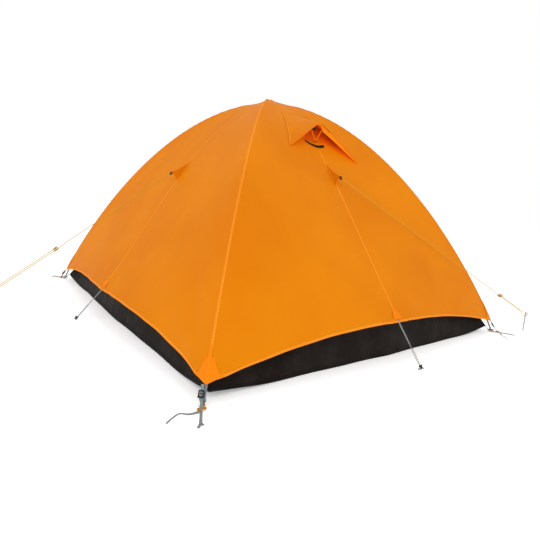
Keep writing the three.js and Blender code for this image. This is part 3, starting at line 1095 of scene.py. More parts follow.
@dataclass(frozen=True)
class Fan:
    """Folds that spread out from a point where cloth is pulled."""

    across: float
    height: float
    spokes: float
    reach: float
    deep: float
    phase: float

    def at(self, a: float, z: float) -> float:
        """Height of the folds at a distance across and a height.

        Args:
            a: distance across the panel.
            z: height.
        Returns:
            How far the cloth stands out.
        """
        dx, dz = a - self.across, z - self.height
        r = math.hypot(dx, dz)
        turn = math.atan2(dx, dz + 0.02)
        fade = r / (r + 0.03) * math.exp(-((r / self.reach) ** 2))
        return self.deep * fade * math.sin(self.spokes * turn + self.phase)


def fly_fans(side: Side) -> list[Fan]:
    """The pulled points of one flysheet panel: its two corners, its tie-out and its guy point.

    Args:
        side: the panel's side.
    Returns:
        Its fans.
    """
    half = FLY.width(side, HEM_CORNER)
    seed = 0.7 * (side.value[0] + 2 * side.value[1])
    fans = [Fan(sign * half, HEM_CORNER, 15, 0.42, 0.0042, seed + sign) for sign in (-1, 1)]
    fans.append(Fan(0.0, hem_height(side, 0) - 0.02, 11, 0.20, 0.0040, seed))
    fans.append(Fan(0.0, 0.77, 7, 0.30, 0.0028, seed + 1.3))
    return fans


FANS = {side: fly_fans(side) for side in Side}


def drawn_in(side: Side, s: float, z: float) -> float:
    """How far the guy point's pull leaves the middle of a short side drawn in, at a place on it."""
    share = min(max((z - 0.27) / 0.86, 0.0), 1.0)
    return 0.025 * math.sin(math.pi * share ** 1.2) * (1 - abs(s)) if side.short else 0.0


def fly_at(side: Side, s: float, z: float) -> Vector:
    """A place on the pitched flysheet, with the folds of its tension.

    Args:
        side: the panel's side.
        s: place across, from -1 to 1.
        z: height.
    Returns:
        The place.
    """
    place = FLY.at(side, s, z) - side.out * drawn_in(side, s, z)
    half = max(FLY.width(side, z), 1e-4)
    a = s * half
    to_ridge = max(0.0, half - abs(a))
    calm = min(1.0, to_ridge / 0.06) * min(1.0, max(0.0, (SHOULDER - z) / 0.1))
    folds = sum(fan.at(a, z) for fan in FANS[side])
    drift = 0.0060 * noise.noise(Vector((a * 2.4, z * 2.0, 3.1 * side.value[0] + 7.7 * side.value[1])))
    above = z - hem_height(side, s)
    flutter = 0.0012 * math.exp(-max(above, 0.0) / 0.07) * math.sin(a * 31 + 2.0 * side.value[1])
    return place + side.out * calm * (folds + drift + flutter)


def fly_across(side: Side, d: float, z: float) -> Vector:
    """A place on the flysheet at a distance from the middle of a side."""
    return fly_at(side, d / FLY.width(side, z), z)


def fly_height(side: Side, s: float, climb: float) -> float:
    """Height on a panel at a share of the way from its hem to the peak."""
    hem = hem_height(side, s)
    return hem + (PEAK - hem) * climb


def quad_grid(bm: BMesh, grid: Sequence[Sequence[BMVert]],
              spots: Sequence[Sequence[tuple[float, float]]]) -> list[BMFace]:
    """Fills rows of vertices with faces.

    Args:
        bm: the mesh that the vertices are in.
        grid: its rows of vertices.
        spots: the place of each vertex on the UV map, in metres.
    Returns:
        The new faces.
    """
    layer = bm.loops.layers.uv.verify()
    faces = []
    for j in range(len(grid) - 1):
        for i in range(len(grid[j]) - 1):
            ring = ((j, i), (j, i + 1), (j + 1, i + 1), (j + 1, i))
            face = bm.faces.new([grid[a][b] for a, b in ring])
            for loop, (a, b) in zip(face.loops, ring):
                loop[layer].uv = spots[a][b]
            faces.append(face)
    return faces


def upright_spots(grid: Sequence[Sequence[BMVert]], side: Side) -> list[list[tuple[float, float]]]:
    """The places of a side's vertices on the UV map: across it and up."""
    return [[(vert.co.dot(side.across), vert.co.z) for vert in row] for row in grid]


def sewn(name: str, bm: BMesh, finish: Finish, thick: float, *, weld: bool = True,
         gone: Callable[[Vector], bool] | None = None) -> Piece:
    """Turns a surface into a piece of cloth.

    Args:
        name: the piece's name.
        bm: the surface, which is freed.
        finish: its material.
        thick: the cloth's thickness.
        weld: whether vertices that meet at its seams are joined.
        gone: whether a face whose middle is at a place is left out.
    Returns:
        The new piece.
    """
    if gone:
        lost = [f for f in bm.faces if gone(f.calc_center_median())]
        bmesh.ops.delete(bm, geom=lost, context="FACES")
    if weld:
        bmesh.ops.remove_doubles(bm, verts=bm.verts[:], dist=WELD)
    bmesh.ops.recalc_face_normals(bm, faces=bm.faces[:])
    bmesh.ops.solidify(bm, geom=bm.faces[:], thickness=thick)
    return finish_mesh(name, bm, finish)


# ---- flysheet ----
DOOR_FRONT = 0.024  # the zip's edge of the door opening, along Y
DOOR_BACK = 0.740  # where the opening ends along the hem
DOOR_LOW = Vector((DOOR_BACK, 0.060))  # foot of the slanted edge, as (Y, Z)
DOOR_HIGH = Vector((0.062, 0.880))  # its top
DOOR_GAP = 0.005
DOOR_SLANT = (DOOR_HIGH - DOOR_LOW).normalized()


def slant_y(z: float, shift: float = 0.0) -> float:
    """Y of the door's slanted edge at a height, moved in by shift."""
    return DOOR_LOW.x + (z - DOOR_LOW.y) * DOOR_SLANT.x / DOOR_SLANT.y - shift / DOOR_SLANT.y


def cut(bm: BMesh, place: Vector, normal: Vector, faces: list[BMFace]) -> None:
    """Cuts some faces of a mesh along a plane, without removing anything."""
    geometry = {*faces, *(e for f in faces for e in f.edges), *(v for f in faces for v in f.verts)}
    bmesh.ops.bisect_plane(bm, geom=list(geometry), plane_co=place, plane_no=normal)


@dataclass
class Flysheet:
    """The orange outer tent: one sewn skin with its door leaf, seams, hems and patches."""

    cols: int = 68
    rows: int = 84
    cloth: float = 0.0007
    seam: float = 0.0055
    centre: float = 0.004
    hem_width: float = 0.008
    patch_reach: float = 0.096
    patch_half: float = 0.056
    tieout_half: float = 0.026
    tieout_reach: float = 0.038
    pieces: list[Piece] = field(default_factory=list)

    def build(self) -> None:
        """Builds the whole flysheet except its vent and its corner straps."""
        sheet = self.panels()
        self.door_leaf()
        for corner in Corner:
            self.pieces.append(self.ridge_seam(corner))
            self.pieces.append(self.corner_patch(corner))
        for side in Side:
            self.pieces.append(self.centre_seam(side))
            self.pieces.append(self.tieout_patch(side))
        for side in (Side.FRONT, Side.BACK, Side.LEFT):
            self.pieces.append(self.hem(f"fly_hem_{side.tag}", side, -1, 1))
        half = FLY.width(Side.RIGHT, 0.12)
        self.pieces.append(self.hem("fly_hem_door_side_a", Side.RIGHT, -1, DOOR_FRONT / half))
        self.pieces.append(self.hem("fly_hem_door_side_b", Side.RIGHT, DOOR_BACK / half + 0.004, 1))
        self.pieces += self.door_edges()
        for piece in self.pieces:
            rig.ride(piece, "fly")
        mount("fly", [sheet], "fly_front_panel", "fly_back_panel", "fly_left_panel", "fly_door_panel")
        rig.sheet(sheet, flat=(3.00, 3.30), area=6.8, held="stretched", rests_on=["pole_a", "pole_b"],
                 with_pieces=self.pieces)
        LOG.info("flysheet: %d sewn pieces", len(self.pieces))

    def grid(self, bm: BMesh, side: Side) -> list[BMFace]:
        """Adds one panel's outer surface to a mesh, denser along its ridges and its centre seam.

        Args:
            bm: the mesh that it is added to.
            side: the panel's side.
        Returns:
            The new faces.
        """
        rows: list[list[BMVert]] = []
        across: list[list[tuple[float, float]]] = []
        for j in range(self.rows + 1):
            climb = 1 - (1 - j / self.rows) ** CROWDING
            row, spots = [], []
            for i in range(self.cols + 1):
                t = -1 + 2 * i / self.cols
                s = t - 0.4 * math.sin(math.tau * t) / math.tau
                z = fly_height(side, s, climb)
                row.append(bm.verts.new(fly_at(side, s, min(z, PEAK - 1e-5))))
                spots.append((s * FLY.width(side, z), z))
            rows.append(row)
            across.append(spots)
        return quad_grid(bm, rows, across)

    def cut_door(self, bm: BMesh, faces: list[BMFace], inset: float) -> None:
        """Cuts the door's outline into the +X panel.

        Args:
            bm: the mesh.
            inset: how far inside the outline the cut runs.
        """
        right = EAST
        edges = [
            (Vector((0, DOOR_FRONT + inset, 0)), NORTH), (Vector((0, DOOR_BACK - inset, 0)), NORTH),
            (Vector((0, 0, DOOR_HIGH.y - inset)), UP),
            (Vector((0, slant_y(0.3, inset), 0.3)), Vector((0, DOOR_SLANT.y, -DOOR_SLANT.x)))]
        for place, normal in edges:
            alive = [f for f in bm.faces if f.calc_center_median().dot(right) > 0.2]
            cut(bm, place, normal, alive)

    @staticmethod
    def in_door(place: Vector, inset: float) -> bool:
        """Whether a place on the +X panel lies inside the door's outline."""
        inside_y = DOOR_FRONT + inset < place.y < min(DOOR_BACK - inset, slant_y(place.z, inset))
        return place.x > 0.2 and inside_y and place.z < DOOR_HIGH.y - inset

    def panels(self) -> Piece:
        """The four panels as one welded skin, open at the door.

        Returns:
            The flysheet without its door leaf.
        """
        bm = bmesh.new()
        for side in (Side.FRONT, Side.BACK, Side.LEFT):
            self.grid(bm, side)
        door_side = self.grid(bm, Side.RIGHT)
        self.cut_door(bm, door_side, 0.0)
        return sewn("flysheet", bm, TAFFETA, self.cloth, gone=lambda place: self.in_door(place, 0.0))

    def door_leaf(self) -> None:
        """The door leaf with its hem and its side of the zip."""
        bm = bmesh.new()
        faces = self.grid(bm, Side.RIGHT)
        self.cut_door(bm, faces, DOOR_GAP)
        leaf = sewn("door_leaf", bm, TAFFETA, self.cloth, weld=False,
                    gone=lambda place: not self.in_door(place, DOOR_GAP))
        half = FLY.width(Side.RIGHT, 0.12)
        hem = self.hem(
            "door_leaf_hem", Side.RIGHT, (DOOR_FRONT + DOOR_GAP) / half, (DOOR_BACK - DOOR_GAP) / half - 0.02)
        edge = self.edge_band("door_leaf_zip_edge", DOOR_GAP, 0.014, ZIP_TAPE, 0.0012)
        mount("fly_door", [leaf, hem, edge], "fly_door_flap")
        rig.sheet(leaf, flat=(0.71, 0.83), area=0.30, held="stretched", rests_on=["flysheet"],
                 with_pieces=[hem, edge])

    def edge_band(self, name: str, offset: float, width: float, finish: Finish, lift: float) -> Piece:
        """A band along the zip's straight edge of the door, from offset to offset + width in Y."""
        ys = spaced(DOOR_FRONT + offset, DOOR_FRONT + offset + width, 4)
        return skin(name, lambda y, z: fly_across(Side.RIGHT, y, z), ys,
                    spaced(0.150, DOOR_HIGH.y - 0.012, 60), finish, lift=lift)

    def door_edges(self) -> list[Piece]:
        """The fixed zip tape with its coil, the slanted edge's fold and the cap over the door's top.

        Returns:
            The pieces around the opening.
        """
        tape = self.edge_band("door_zip_tape", -0.012, 0.012, ZIP_TAPE, 0.0012)
        coil = self.edge_band("door_zip_coil", -0.0008, 0.0036, ACETAL, 0.0016)

        def slant(d: float, z: float) -> Vector:
            """A place on the fold along the slanted edge."""
            y = slant_y(z) + d
            return fly_at(Side.RIGHT, min(y / FLY.width(Side.RIGHT, z), 0.999), z)

        fold = skin("door_slant_fold", slant, spaced(0.001, 0.013, 4), spaced(0.10, 0.86, 60), BINDING)

        cap = skin("door_top_cap", lambda y, z: fly_across(Side.RIGHT, y, z), spaced(0.004, 0.086, 14),
                   spaced(0.882, 0.906, 5), BINDING, lift=0.001)
        return [tape, coil, fold, cap]

    def ridge_seam(self, corner: Corner) -> Piece:
        """The flat-felled seam over a pole, bent over the ridge between its two panels.

        Args:
            corner: the corner at its foot.
        Returns:
            The new piece.
        """
        sx, sy = corner.value

        def at(d: float, z: float) -> Vector:
            """A place on the seam, which bends over the ridge."""
            side, sign = (corner.long_side, sy) if d < 0 else (corner.short_side, sx)
            return fly_at(side, sign * max(0.0, 1 - abs(d) / FLY.width(side, z)), z)

        def pucker(d: float, z: float) -> float:
            """Height of the puckers between stitches."""
            return 0.0007 * math.sin(z * math.tau / 0.021) * (1 - (d / self.seam) ** 2) + 0.0005

        heights = [
            HEM_CORNER + (SHOULDER - 0.004 - HEM_CORNER) * (1 - (1 - t) ** 1.5) for t in spaced(0, 1, 230)]
        return skin(f"fly_ridge_seam_{corner.tag}", at, spaced(-self.seam, self.seam, 6), heights, BINDING,
                    lift=0.0004, pad=pucker, round_edge=0.0004)

    def centre_seam(self, side: Side) -> Piece:
        """The seam that joins a panel's two halves, from its hem to the peak or the vent.

        Args:
            side: the panel's side.
        Returns:
            The new piece.
        """
        low = DOOR_HIGH.y + 0.03 if side is Side.RIGHT else hem_height(side, 0) + 0.002
        high = 0.927 if side is Side.FRONT else SHOULDER - 0.03
        return skin(
            f"fly_centre_seam_{side.tag}", lambda d, z: fly_at(side, d / max(FLY.width(side, z), 0.02), z),
            spaced(-self.centre, self.centre, 4), spaced(low, high, 150), BINDING, lift=0.0005,
            pad=lambda d, z: 0.0005 * math.sin(z * math.tau / 0.024), round_edge=0.0003)

    def hem(self, name: str, side: Side, low: float, high: float) -> Piece:
        """The bound edge along a side's hem, from s = low to s = high.

        Args:
            name: the piece's name.
            side: the panel's side.
            low: where it starts across.
            high: where it ends across.
        Returns:
            The new piece.
        """
        def at(s: float, up: float) -> Vector:
            """A place on the hem."""
            edge = min(max(s, -0.9995), 0.9995)
            return fly_at(side, edge, hem_height(side, edge) - 0.0015 + up)

        count = max(12, round(110 * (high - low) / 2))
        return skin(
            name, lambda up, s: at(s, up), spaced(0.0, self.hem_width, 3), spaced(low, high, count), BINDING,
            lift=0.0002, thick=0.0007)

    def corner_patch(self, corner: Corner) -> Piece:
        """The fan-shaped reinforcement sewn over a corner, with creases that run to the strap.

        Args:
            corner: the corner that it covers.
        Returns:
            The new piece.
        """
        sx, sy = corner.value

        def at(u: float, t: float) -> Vector:
            """A place on the patch.

            Args:
                u: place round the corner, from -1 to 1.
                t: share of the way down to the hem.
            Returns:
                The place.
            """
            side, sign = (corner.long_side, sy) if u < 0 else (corner.short_side, sx)
            d = abs(u) * self.patch_half * (0.42 + 0.58 * t)
            low = hem_height(side, 1 - d / FLY.width(side, HEM_CORNER)) + 0.0015
            rise = self.patch_reach * (1 - 0.64 * abs(u)) + 0.010 * math.cos(3 * math.pi * u)
            z = low + rise * (1 - t)
            return fly_at(side, sign * max(0.0, 1 - d / FLY.width(side, z)), z)

        def creases(u: float, t: float) -> float:
            """Height of the pleats."""
            pleat = 0.0012 * math.cos(3 * math.pi * u) + 0.0005 * math.cos(9 * math.pi * u)
            return pleat * math.sin(math.pi * min(1.0, 0.12 + 0.8 * t)) + 0.0014

        return skin(f"fly_corner_patch_{corner.tag}", at, spaced(-1.0, 1.0, 48), spaced(0.0, 1.0, 20),
                    PATCH, lift=0.0004, pad=creases)

    def tieout_patch(self, side: Side) -> Piece:
        """The small half-round patch over the middle of a hem.

        Args:
            side: the panel's side.
        Returns:
            The new piece.
        """
        half_width = self.tieout_half

        def at(a: float, t: float) -> Vector:
            """A place on the patch.

            Args:
                a: distance across.
                t: share of its height.
            Returns:
                The place.
            """
            s = a / FLY.width(side, 0.15)
            rise = t * self.tieout_reach * math.sqrt(max(0.0, 1 - (a / (half_width * 1.03)) ** 2))
            return fly_at(side, s, hem_height(side, s) + 0.010 + rise)

        return skin(
            f"fly_tieout_patch_{side.tag}", at, spaced(-half_width, half_width, 14), spaced(0.0, 1.0, 8),
            PATCH, lift=0.0008, pad=lambda a, t: 0.0006 * math.sin(a * 520) * (1 - t))


@dataclass
class VentHood:
    """The hood over the vent: a stiffened brim on a V prop, over a slit of netting."""

    top: float = 1.126
    half: float = 0.102
    tip: float = 0.896
    tip_half: float = 0.229
    brim: float = 1.046
    stand: float = 0.122
    lift: float = 0.0035
    lean: float = 0.015
    fold_in: float = 0.021
    slit: float = 0.062
    slit_height: float = 0.013

    def at(self, u: float, v: float) -> Vector:
        """A place on the hood: u from tip to tip, v from its top seam to its brim.

        Args:
            u: place from the left tip at -1 to the right tip at 1.
            v: place from the top seam at 0 to the brim at 1.
        Returns:
            The place.
        """
        w, v = min(abs(u), 1.0), max(v, 0.0)
        fall = max(0.0, (w - 0.10) / 0.90) ** 1.02
        x = u * (self.half + (self.tip_half - self.half) * v) + self.lean * 0.6 * v * w
        z = self.top + (
            self.brim + (self.tip - self.lean * math.copysign(1, u) - self.brim) * fall - self.top) * v
        place = fly_at(Side.FRONT, x / (FOOT_X * FLY.ridge(z)), z)
        z += 0.07 * max(-0.10, min(0.10, u)) * v * v
        fold = 0.0035 * math.exp(-(((v - 0.80 + 0.25 * w) / 0.05) ** 2)) * (1 - w) ** 0.3
        stand = self.stand * v ** 1.2 * (1 - w) ** 0.95 + fold
        sag = 0.006 * math.sin(math.pi * v) * math.sin(math.pi * min(1.0, 2.0 * w)) * (1 - w)
        off = 0.0012 + self.lift * min(1.0, 4 * v) * (1 - w)
        return place + Vector((0, -off - stand + sag, off))

    def build(self) -> None:
        """Builds the hood, its facing and seams, the netting slit and the prop."""
        behind = Vector((0, 0.2, 0.8))
        shell = skin(
            "vent_hood_shell", self.at, spaced(-1, 1, 64), spaced(0.0, 1.0, 26), TAFFETA, lift=-0.0008,
            thick=0.0008, inside=behind)
        facing = skin("vent_hood_facing", lambda u, t: self.at(u, 1 - 0.24 * t), spaced(-0.97, 0.97, 60),
                      spaced(0.0, 1.0, 5), GLOWING_FACING, lift=-0.0030, thick=0.0008, inside=behind)
        # A sheet of painted shade and glow under the hood's shell, where its underside lies in shade.
        shade_sheet = skin("vent_hood_lining", lambda u, t: self.at(u, 0.05 + 0.74 * t), spaced(-0.95, 0.95, 50),
                      spaced(0.0, 1.0, 16), SHADED_GLOWING_TAFFETA, lift=-0.0026, thick=0.0005, inside=behind)
        brim = skin("vent_hood_brim_edge", lambda t, u: self.at(u, 1.004 - 0.05 * t), spaced(0.0, 1.0, 3),
                    spaced(-0.995, 0.995, 110), TAFFETA, lift=0.0002, thick=0.0012, inside=behind)
        seams = [brim, facing, shade_sheet]
        for name, u in (("left", -0.985), ("right", 0.985)):
            seams.append(skin(f"vent_hood_seam_{name}", lambda d, v, u=u: self.at(u + d, v),
                              spaced(-0.03, 0.012, 4),
                              spaced(0.0, 1.0, 60), BINDING, lift=0.0003, inside=behind))
        seams.append(skin("vent_hood_seam_top", lambda v, u: self.at(u, v), spaced(0.0, 0.03, 2),
                          spaced(-0.99, 0.99, 50), TAFFETA, lift=0.0002, inside=behind))
        # A thin black strip just under the right half of the brim.
        seams.append(skin("vent_hood_stiffener", lambda t, u: self.at(u, 1.002 + 0.014 * t),
                          spaced(0.0, 1.0, 2),
                          spaced(0.09, 0.26, 24), ACETAL, lift=-0.0030, thick=0.0010, inside=behind))
        seams.append(skin("vent_hood_turn_in", self.turn_in, spaced(0.05, 0.985, 60), spaced(0.0, 1.0, 6),
                          GLOWING_FACING,
                          lift=0.0, thick=0.0007, inside=behind))
        # Painted shade: a small black plate where the hood's small opening near the brim's apex lies in shade.
        dot = bmesh.new()
        rounded_block(dot, self.at(-0.12, 1.0) + Vector((-0.006, 0.014, -0.020)),
                      (EAST, UP, NORTH), (0.034, 0.014, 0.002), 0.0009)
        seams.append(finish_mesh("vent_hood_patch", dot, ACETAL))
        seams += self.netting()
        mount("fly", [shell, *seams], "vent_hood")
        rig.sheet(
            shell, flat=(0.48, 0.26), area=0.085, held="stretched", rests_on=["flysheet"], with_pieces=seams)
        self.prop()
        LOG.info("vent hood: %d pieces", len(seams) + 2)

    def turn_in(self, u: float, t: float) -> Vector:
        """A place on the facing that is folded in under the right half of the brim."""
        width = self.fold_in * min(1.0, 9 * (u - 0.04)) * (1 - 0.92 * u)
        return self.at(u, 0.998) + Vector((0, 0.0012 + width * t, -0.0010 - 0.95 * width * t))

    def netting(self) -> list[Piece]:
        """The smile-shaped slit of netting and its bound edges.

        Returns:
            The slit, its edges and the lining behind them.
        """
        def curve(x: float, up: float) -> Vector:
            """A place on the slit's smile, raised by up."""
            z = 0.936 + 0.015 * (x / self.slit) ** 2 - 0.09 * x + up
            return fly_across(Side.FRONT, x - 0.010, z)
        # The slit, its edges and the sheet of painted shade and glow behind them.

        high, edge = self.slit_height, self.slit + 0.004
        slit = skin("vent_netting", curve, spaced(-self.slit, self.slit, 30), spaced(0.0, high, 4), NETTING,
                    lift=0.0012, thick=0.0012)
        below = skin("vent_netting_edge_low", curve, spaced(-edge, edge, 30), spaced(-0.003, 0.0, 2), TAFFETA,
                     lift=0.0012)
        above = skin("vent_netting_edge_high", curve, spaced(-edge, edge, 30), spaced(high, high + 0.003, 2),
                     TAFFETA, lift=0.0012)
        # A sheet of painted shade and glow on the flysheet under the hood.
        wall = skin("vent_wall_lining", lambda x, z: fly_across(Side.FRONT, x, z),
                    spaced(-0.118, 0.118, 30), spaced(0.971, 1.085, 12), SHADED_GLOWING_TAFFETA, lift=0.0008)
        return [slit, below, above, wall]

    def prop(self) -> None:
        """The V of two stiff tapes with its hook pad, on its own body."""
        low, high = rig.box("vent_prop")
        inward = Vector((-0.010, drawn_in(Side.FRONT, 0, low.z) - 0.003, 0.008))
        base = Vector((0, high.y - 0.0012, low.z + 0.003)) + inward
        bm = bmesh.new()
        for sign in (-1, 1):
            end = Vector(
                (sign * (high.x - 0.0045) - 0.010, low.y + 0.0012, high.z - 0.003 + sign * 0.006)) + inward
            knee = base.lerp(end, 0.5) + Vector((0, -0.0015, 0.0))
            sweep(bm, spline([base, knee, end]), flat_oval(0.006, 0.0018), EAST)
        legs = finish_mesh("vent_prop_tapes", bm, TAFFETA)
        pad = bmesh.new()
        rounded_block(pad, base + Vector((0, -0.0014, 0.003)), (EAST, UP,
                      Vector((0, -1, 0))), (0.016, 0.009, 0.0016), 0.0006)
        hook = finish_mesh("vent_prop_pad", pad, ACETAL)
        mount("prop", [legs, hook], "vent_prop")


# ---- guy lines ----
@dataclass
class GuyLine:
    """One guy line: fin, toggle, doubled cord, line lock and peg."""

    tag: str
    side: Side
    start: Vector
    end: Vector
    lock: float
    strands: float = 0.0055
    bight: float = 0.012
    roll: float = 0.8
    merge: float = 0.060  # the length over which the single cord moves aside at its lock
    spread: float = 0.050  # the length over which the strands part before the peg

    @property
    def along(self) -> Vector:
        """The line's direction, down and out."""
        return (self.end - self.start).normalized()

    @property
    def across(self) -> Vector:
        """The direction across the line in which its two strands part."""
        level = self.along.cross(UP).normalized()
        return level * math.cos(self.roll) + level.cross(self.along) * math.sin(self.roll)

    def spot(self, d: float, a: float) -> Vector:
        """A place at a distance along the line and a distance across it."""
        return self.start + self.along * d + self.across * a

    def build(self) -> None:
        """Builds the cord first, then what it hangs on and what is on it."""
        length = (self.end - self.start).length
        fork = length * self.lock
        k = self.strands

        def ease(start: float, run: float, d: float) -> float:
            """A smooth step from 0 at start to 1 after run."""
            share = min(max((d - start) / run, 0.0), 1.0)
            return share * share * (3 - 2 * share)

        def open_out(d: float) -> float:
            """How much further a strand is from the middle near the peg."""
            return (self.bight - k) * ease(length - self.spread, self.spread, d)

        out_strand = [self.spot(d, -k * ease(fork - self.merge, self.merge, d) - open_out(d))
                      for d in spaced(0.012, length, 150)]
        turns = spaced(-math.pi / 2, math.pi / 2, 12)[1:-1]
        bend = [self.spot(length + self.bight * math.cos(t), self.bight * math.sin(t)) for t in turns]
        back_strand = [self.spot(d, k + open_out(d)) for d in spaced(length, fork + 0.004, 60)]
        line = [*out_strand, *bend, *back_strand]
        total = sum((b - a).length for a, b in zip(line, line[1:]))
        cord = tube(f"guy_cord_{self.tag}", [line], CORD_RADIUS, CORD, sides=10)
        lock = self.line_lock(fork)
        knot = self.knot()
        mount("fly", [cord], f"guy_line_{self.tag}")
        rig.cord(cord, exit=line[0], length=round(total, 3), diameter=2 * CORD_RADIUS, far_end="fitting",
                stiffness="limp", lay="taut", path=line, with_pieces=[lock, knot])
        self.fin()
        self.toggle()
        self.peg()
        LOG.info("guy line %s: %.2f m of cord", self.tag, total)

    def line_lock(self, fork: float) -> Piece:
        """The line lock: two yellow rails with bars across, gripping both strands.

        Args:
            fork: how far along the line the two strands meet.
        Returns:
            The new piece.
        """
        centre = self.spot(fork + 0.012, 0)
        up = self.across.cross(self.along)
        bm = bmesh.new()
        for sign in (-1, 1):
            rounded_block(bm, centre + self.across * sign * 0.0090, (self.along, self.across, up),
                          (0.021, 0.0026, 0.0066), 0.0009)
        for d in (-0.0088, 0.0, 0.0088):
            for lift in (-0.0032, 0.0032):
                rounded_block(bm, centre + self.along * d + up * lift, (self.across, self.along, up),
                              (0.0192, 0.0034, 0.0014), 0.0005)
        piece = finish_mesh(f"guy_lock_{self.tag}", bm, CORD_LOCK)
        mount(f"slider_{self.tag}", [piece], f"guy_slider_{self.tag}")
        return piece

    def knot(self) -> Piece:
        """The stopper knot behind the toggle.

        Returns:
            The new piece.
        """
        line = []
        for i in range(60):
            turn = math.tau * i / 24
            swell = 0.0026 + 0.0006 * math.sin(turn * 1.5)
            offset = self.across * math.cos(turn) * swell + UP * math.sin(turn) * swell
            line.append(self.spot(0.0105 + 0.0075 * i / 59, 0) + offset)
        piece = tube(f"guy_knot_{self.tag}", [line], CORD_RADIUS * 0.95, CORD, sides=8)
        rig.ride(piece, "fly")
        return piece

    def fin(self) -> None:
        """The triangular fabric fin sewn into the panel's centre seam."""
        tip = self.start - self.side.out * 0.002

        def at(u: float, v: float) -> Vector:
            """A place on the fin.

            Args:
                u: share of the way from the seam to the tip.
                v: share of its height.
            Returns:
                The place.
            """
            foot = fly_at(self.side, 0.0, self.start.z - 0.038 + 0.112 * v) + self.side.out * 0.0006
            end = tip + Vector((0, 0, (v - 0.4) * 0.010))
            return foot.lerp(end, u) + Vector((0, 0, (0.5 - v) * 0.012 * math.sin(math.pi * u)))

        aside = tip - self.side.across * 1.0
        fin = skin(f"guy_fin_cloth_{self.tag}", at, spaced(0, 1, 16), spaced(0, 1, 20), TAFFETA, lift=-0.0010,
                   thick=0.0020, inside=aside)
        rims = []
        for name, v0, v1 in (("low", 0.0, 0.07), ("high", 0.93, 1.0)):
            rims.append(skin(f"guy_fin_rim_{name}_{self.tag}", lambda v, u: at(u, v), spaced(v0, v1, 2),
                             spaced(0, 1, 20), BINDING, lift=-0.0017, thick=0.0034, inside=aside))
        mount("fly", [fin, *rims], f"guy_fin_{self.tag}")

    def toggle(self) -> None:
        """The moulded toggle at the fin's tip, with its waist for the cord."""
        low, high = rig.box(f"guy_toggle_{self.tag}")
        centre = (low + high) / 2
        bm = bmesh.new()
        profile = [(-0.0090, 0.0), (-0.0090, 0.0034), (-0.0076, 0.0054), (-0.0036, 0.0056), (-0.0018, 0.0036),
                   (0.0018, 0.0036), (0.0036, 0.0056), (0.0076, 0.0054), (0.0090, 0.0034), (0.0090, 0.0)]
        lathe(bm, centre, UP - self.along * 0.7, profile, 20)
        piece = finish_mesh(f"guy_toggle_body_{self.tag}", bm, ACETAL)
        mount("fly", [piece], f"guy_toggle_{self.tag}")

    def peg(self) -> None:
        """A forged Y-section peg with a waist below its head."""
        low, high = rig.box(f"guy_peg_{self.tag}")
        foot = Vector(((low.x + high.x) / 2, (low.y + high.y) / 2, low.z))
        height = high.z - low.z
        section = []
        for k in range(3):
            a = math.tau * k / 3 + 0.4
            for radius, turn in ((0.0044, -0.20), (0.0044, 0.20), (0.0013, math.pi / 3)):
                section.append((radius * math.cos(a + turn), radius * math.sin(a + turn)))
        bm = bmesh.new()
        line = [foot + Vector((0, 0, height * t))
                for t in (0, 0.03, 0.3, 0.6, 0.86, 0.875, 0.885, 0.90, 0.97, 1.0)]

        def girth(t: float) -> float:
            """The section's size at a share of the height."""
            return 0.72 if 0.62 < t < 0.70 else (0.55 + 0.45 * min(1.0, t * 9))

        sweep(bm, line, section, EAST, girth)
        piece = finish_mesh(f"guy_peg_shaft_{self.tag}", bm, STEEL, smooth=False)
        mount("base", [piece], f"guy_peg_{self.tag}")


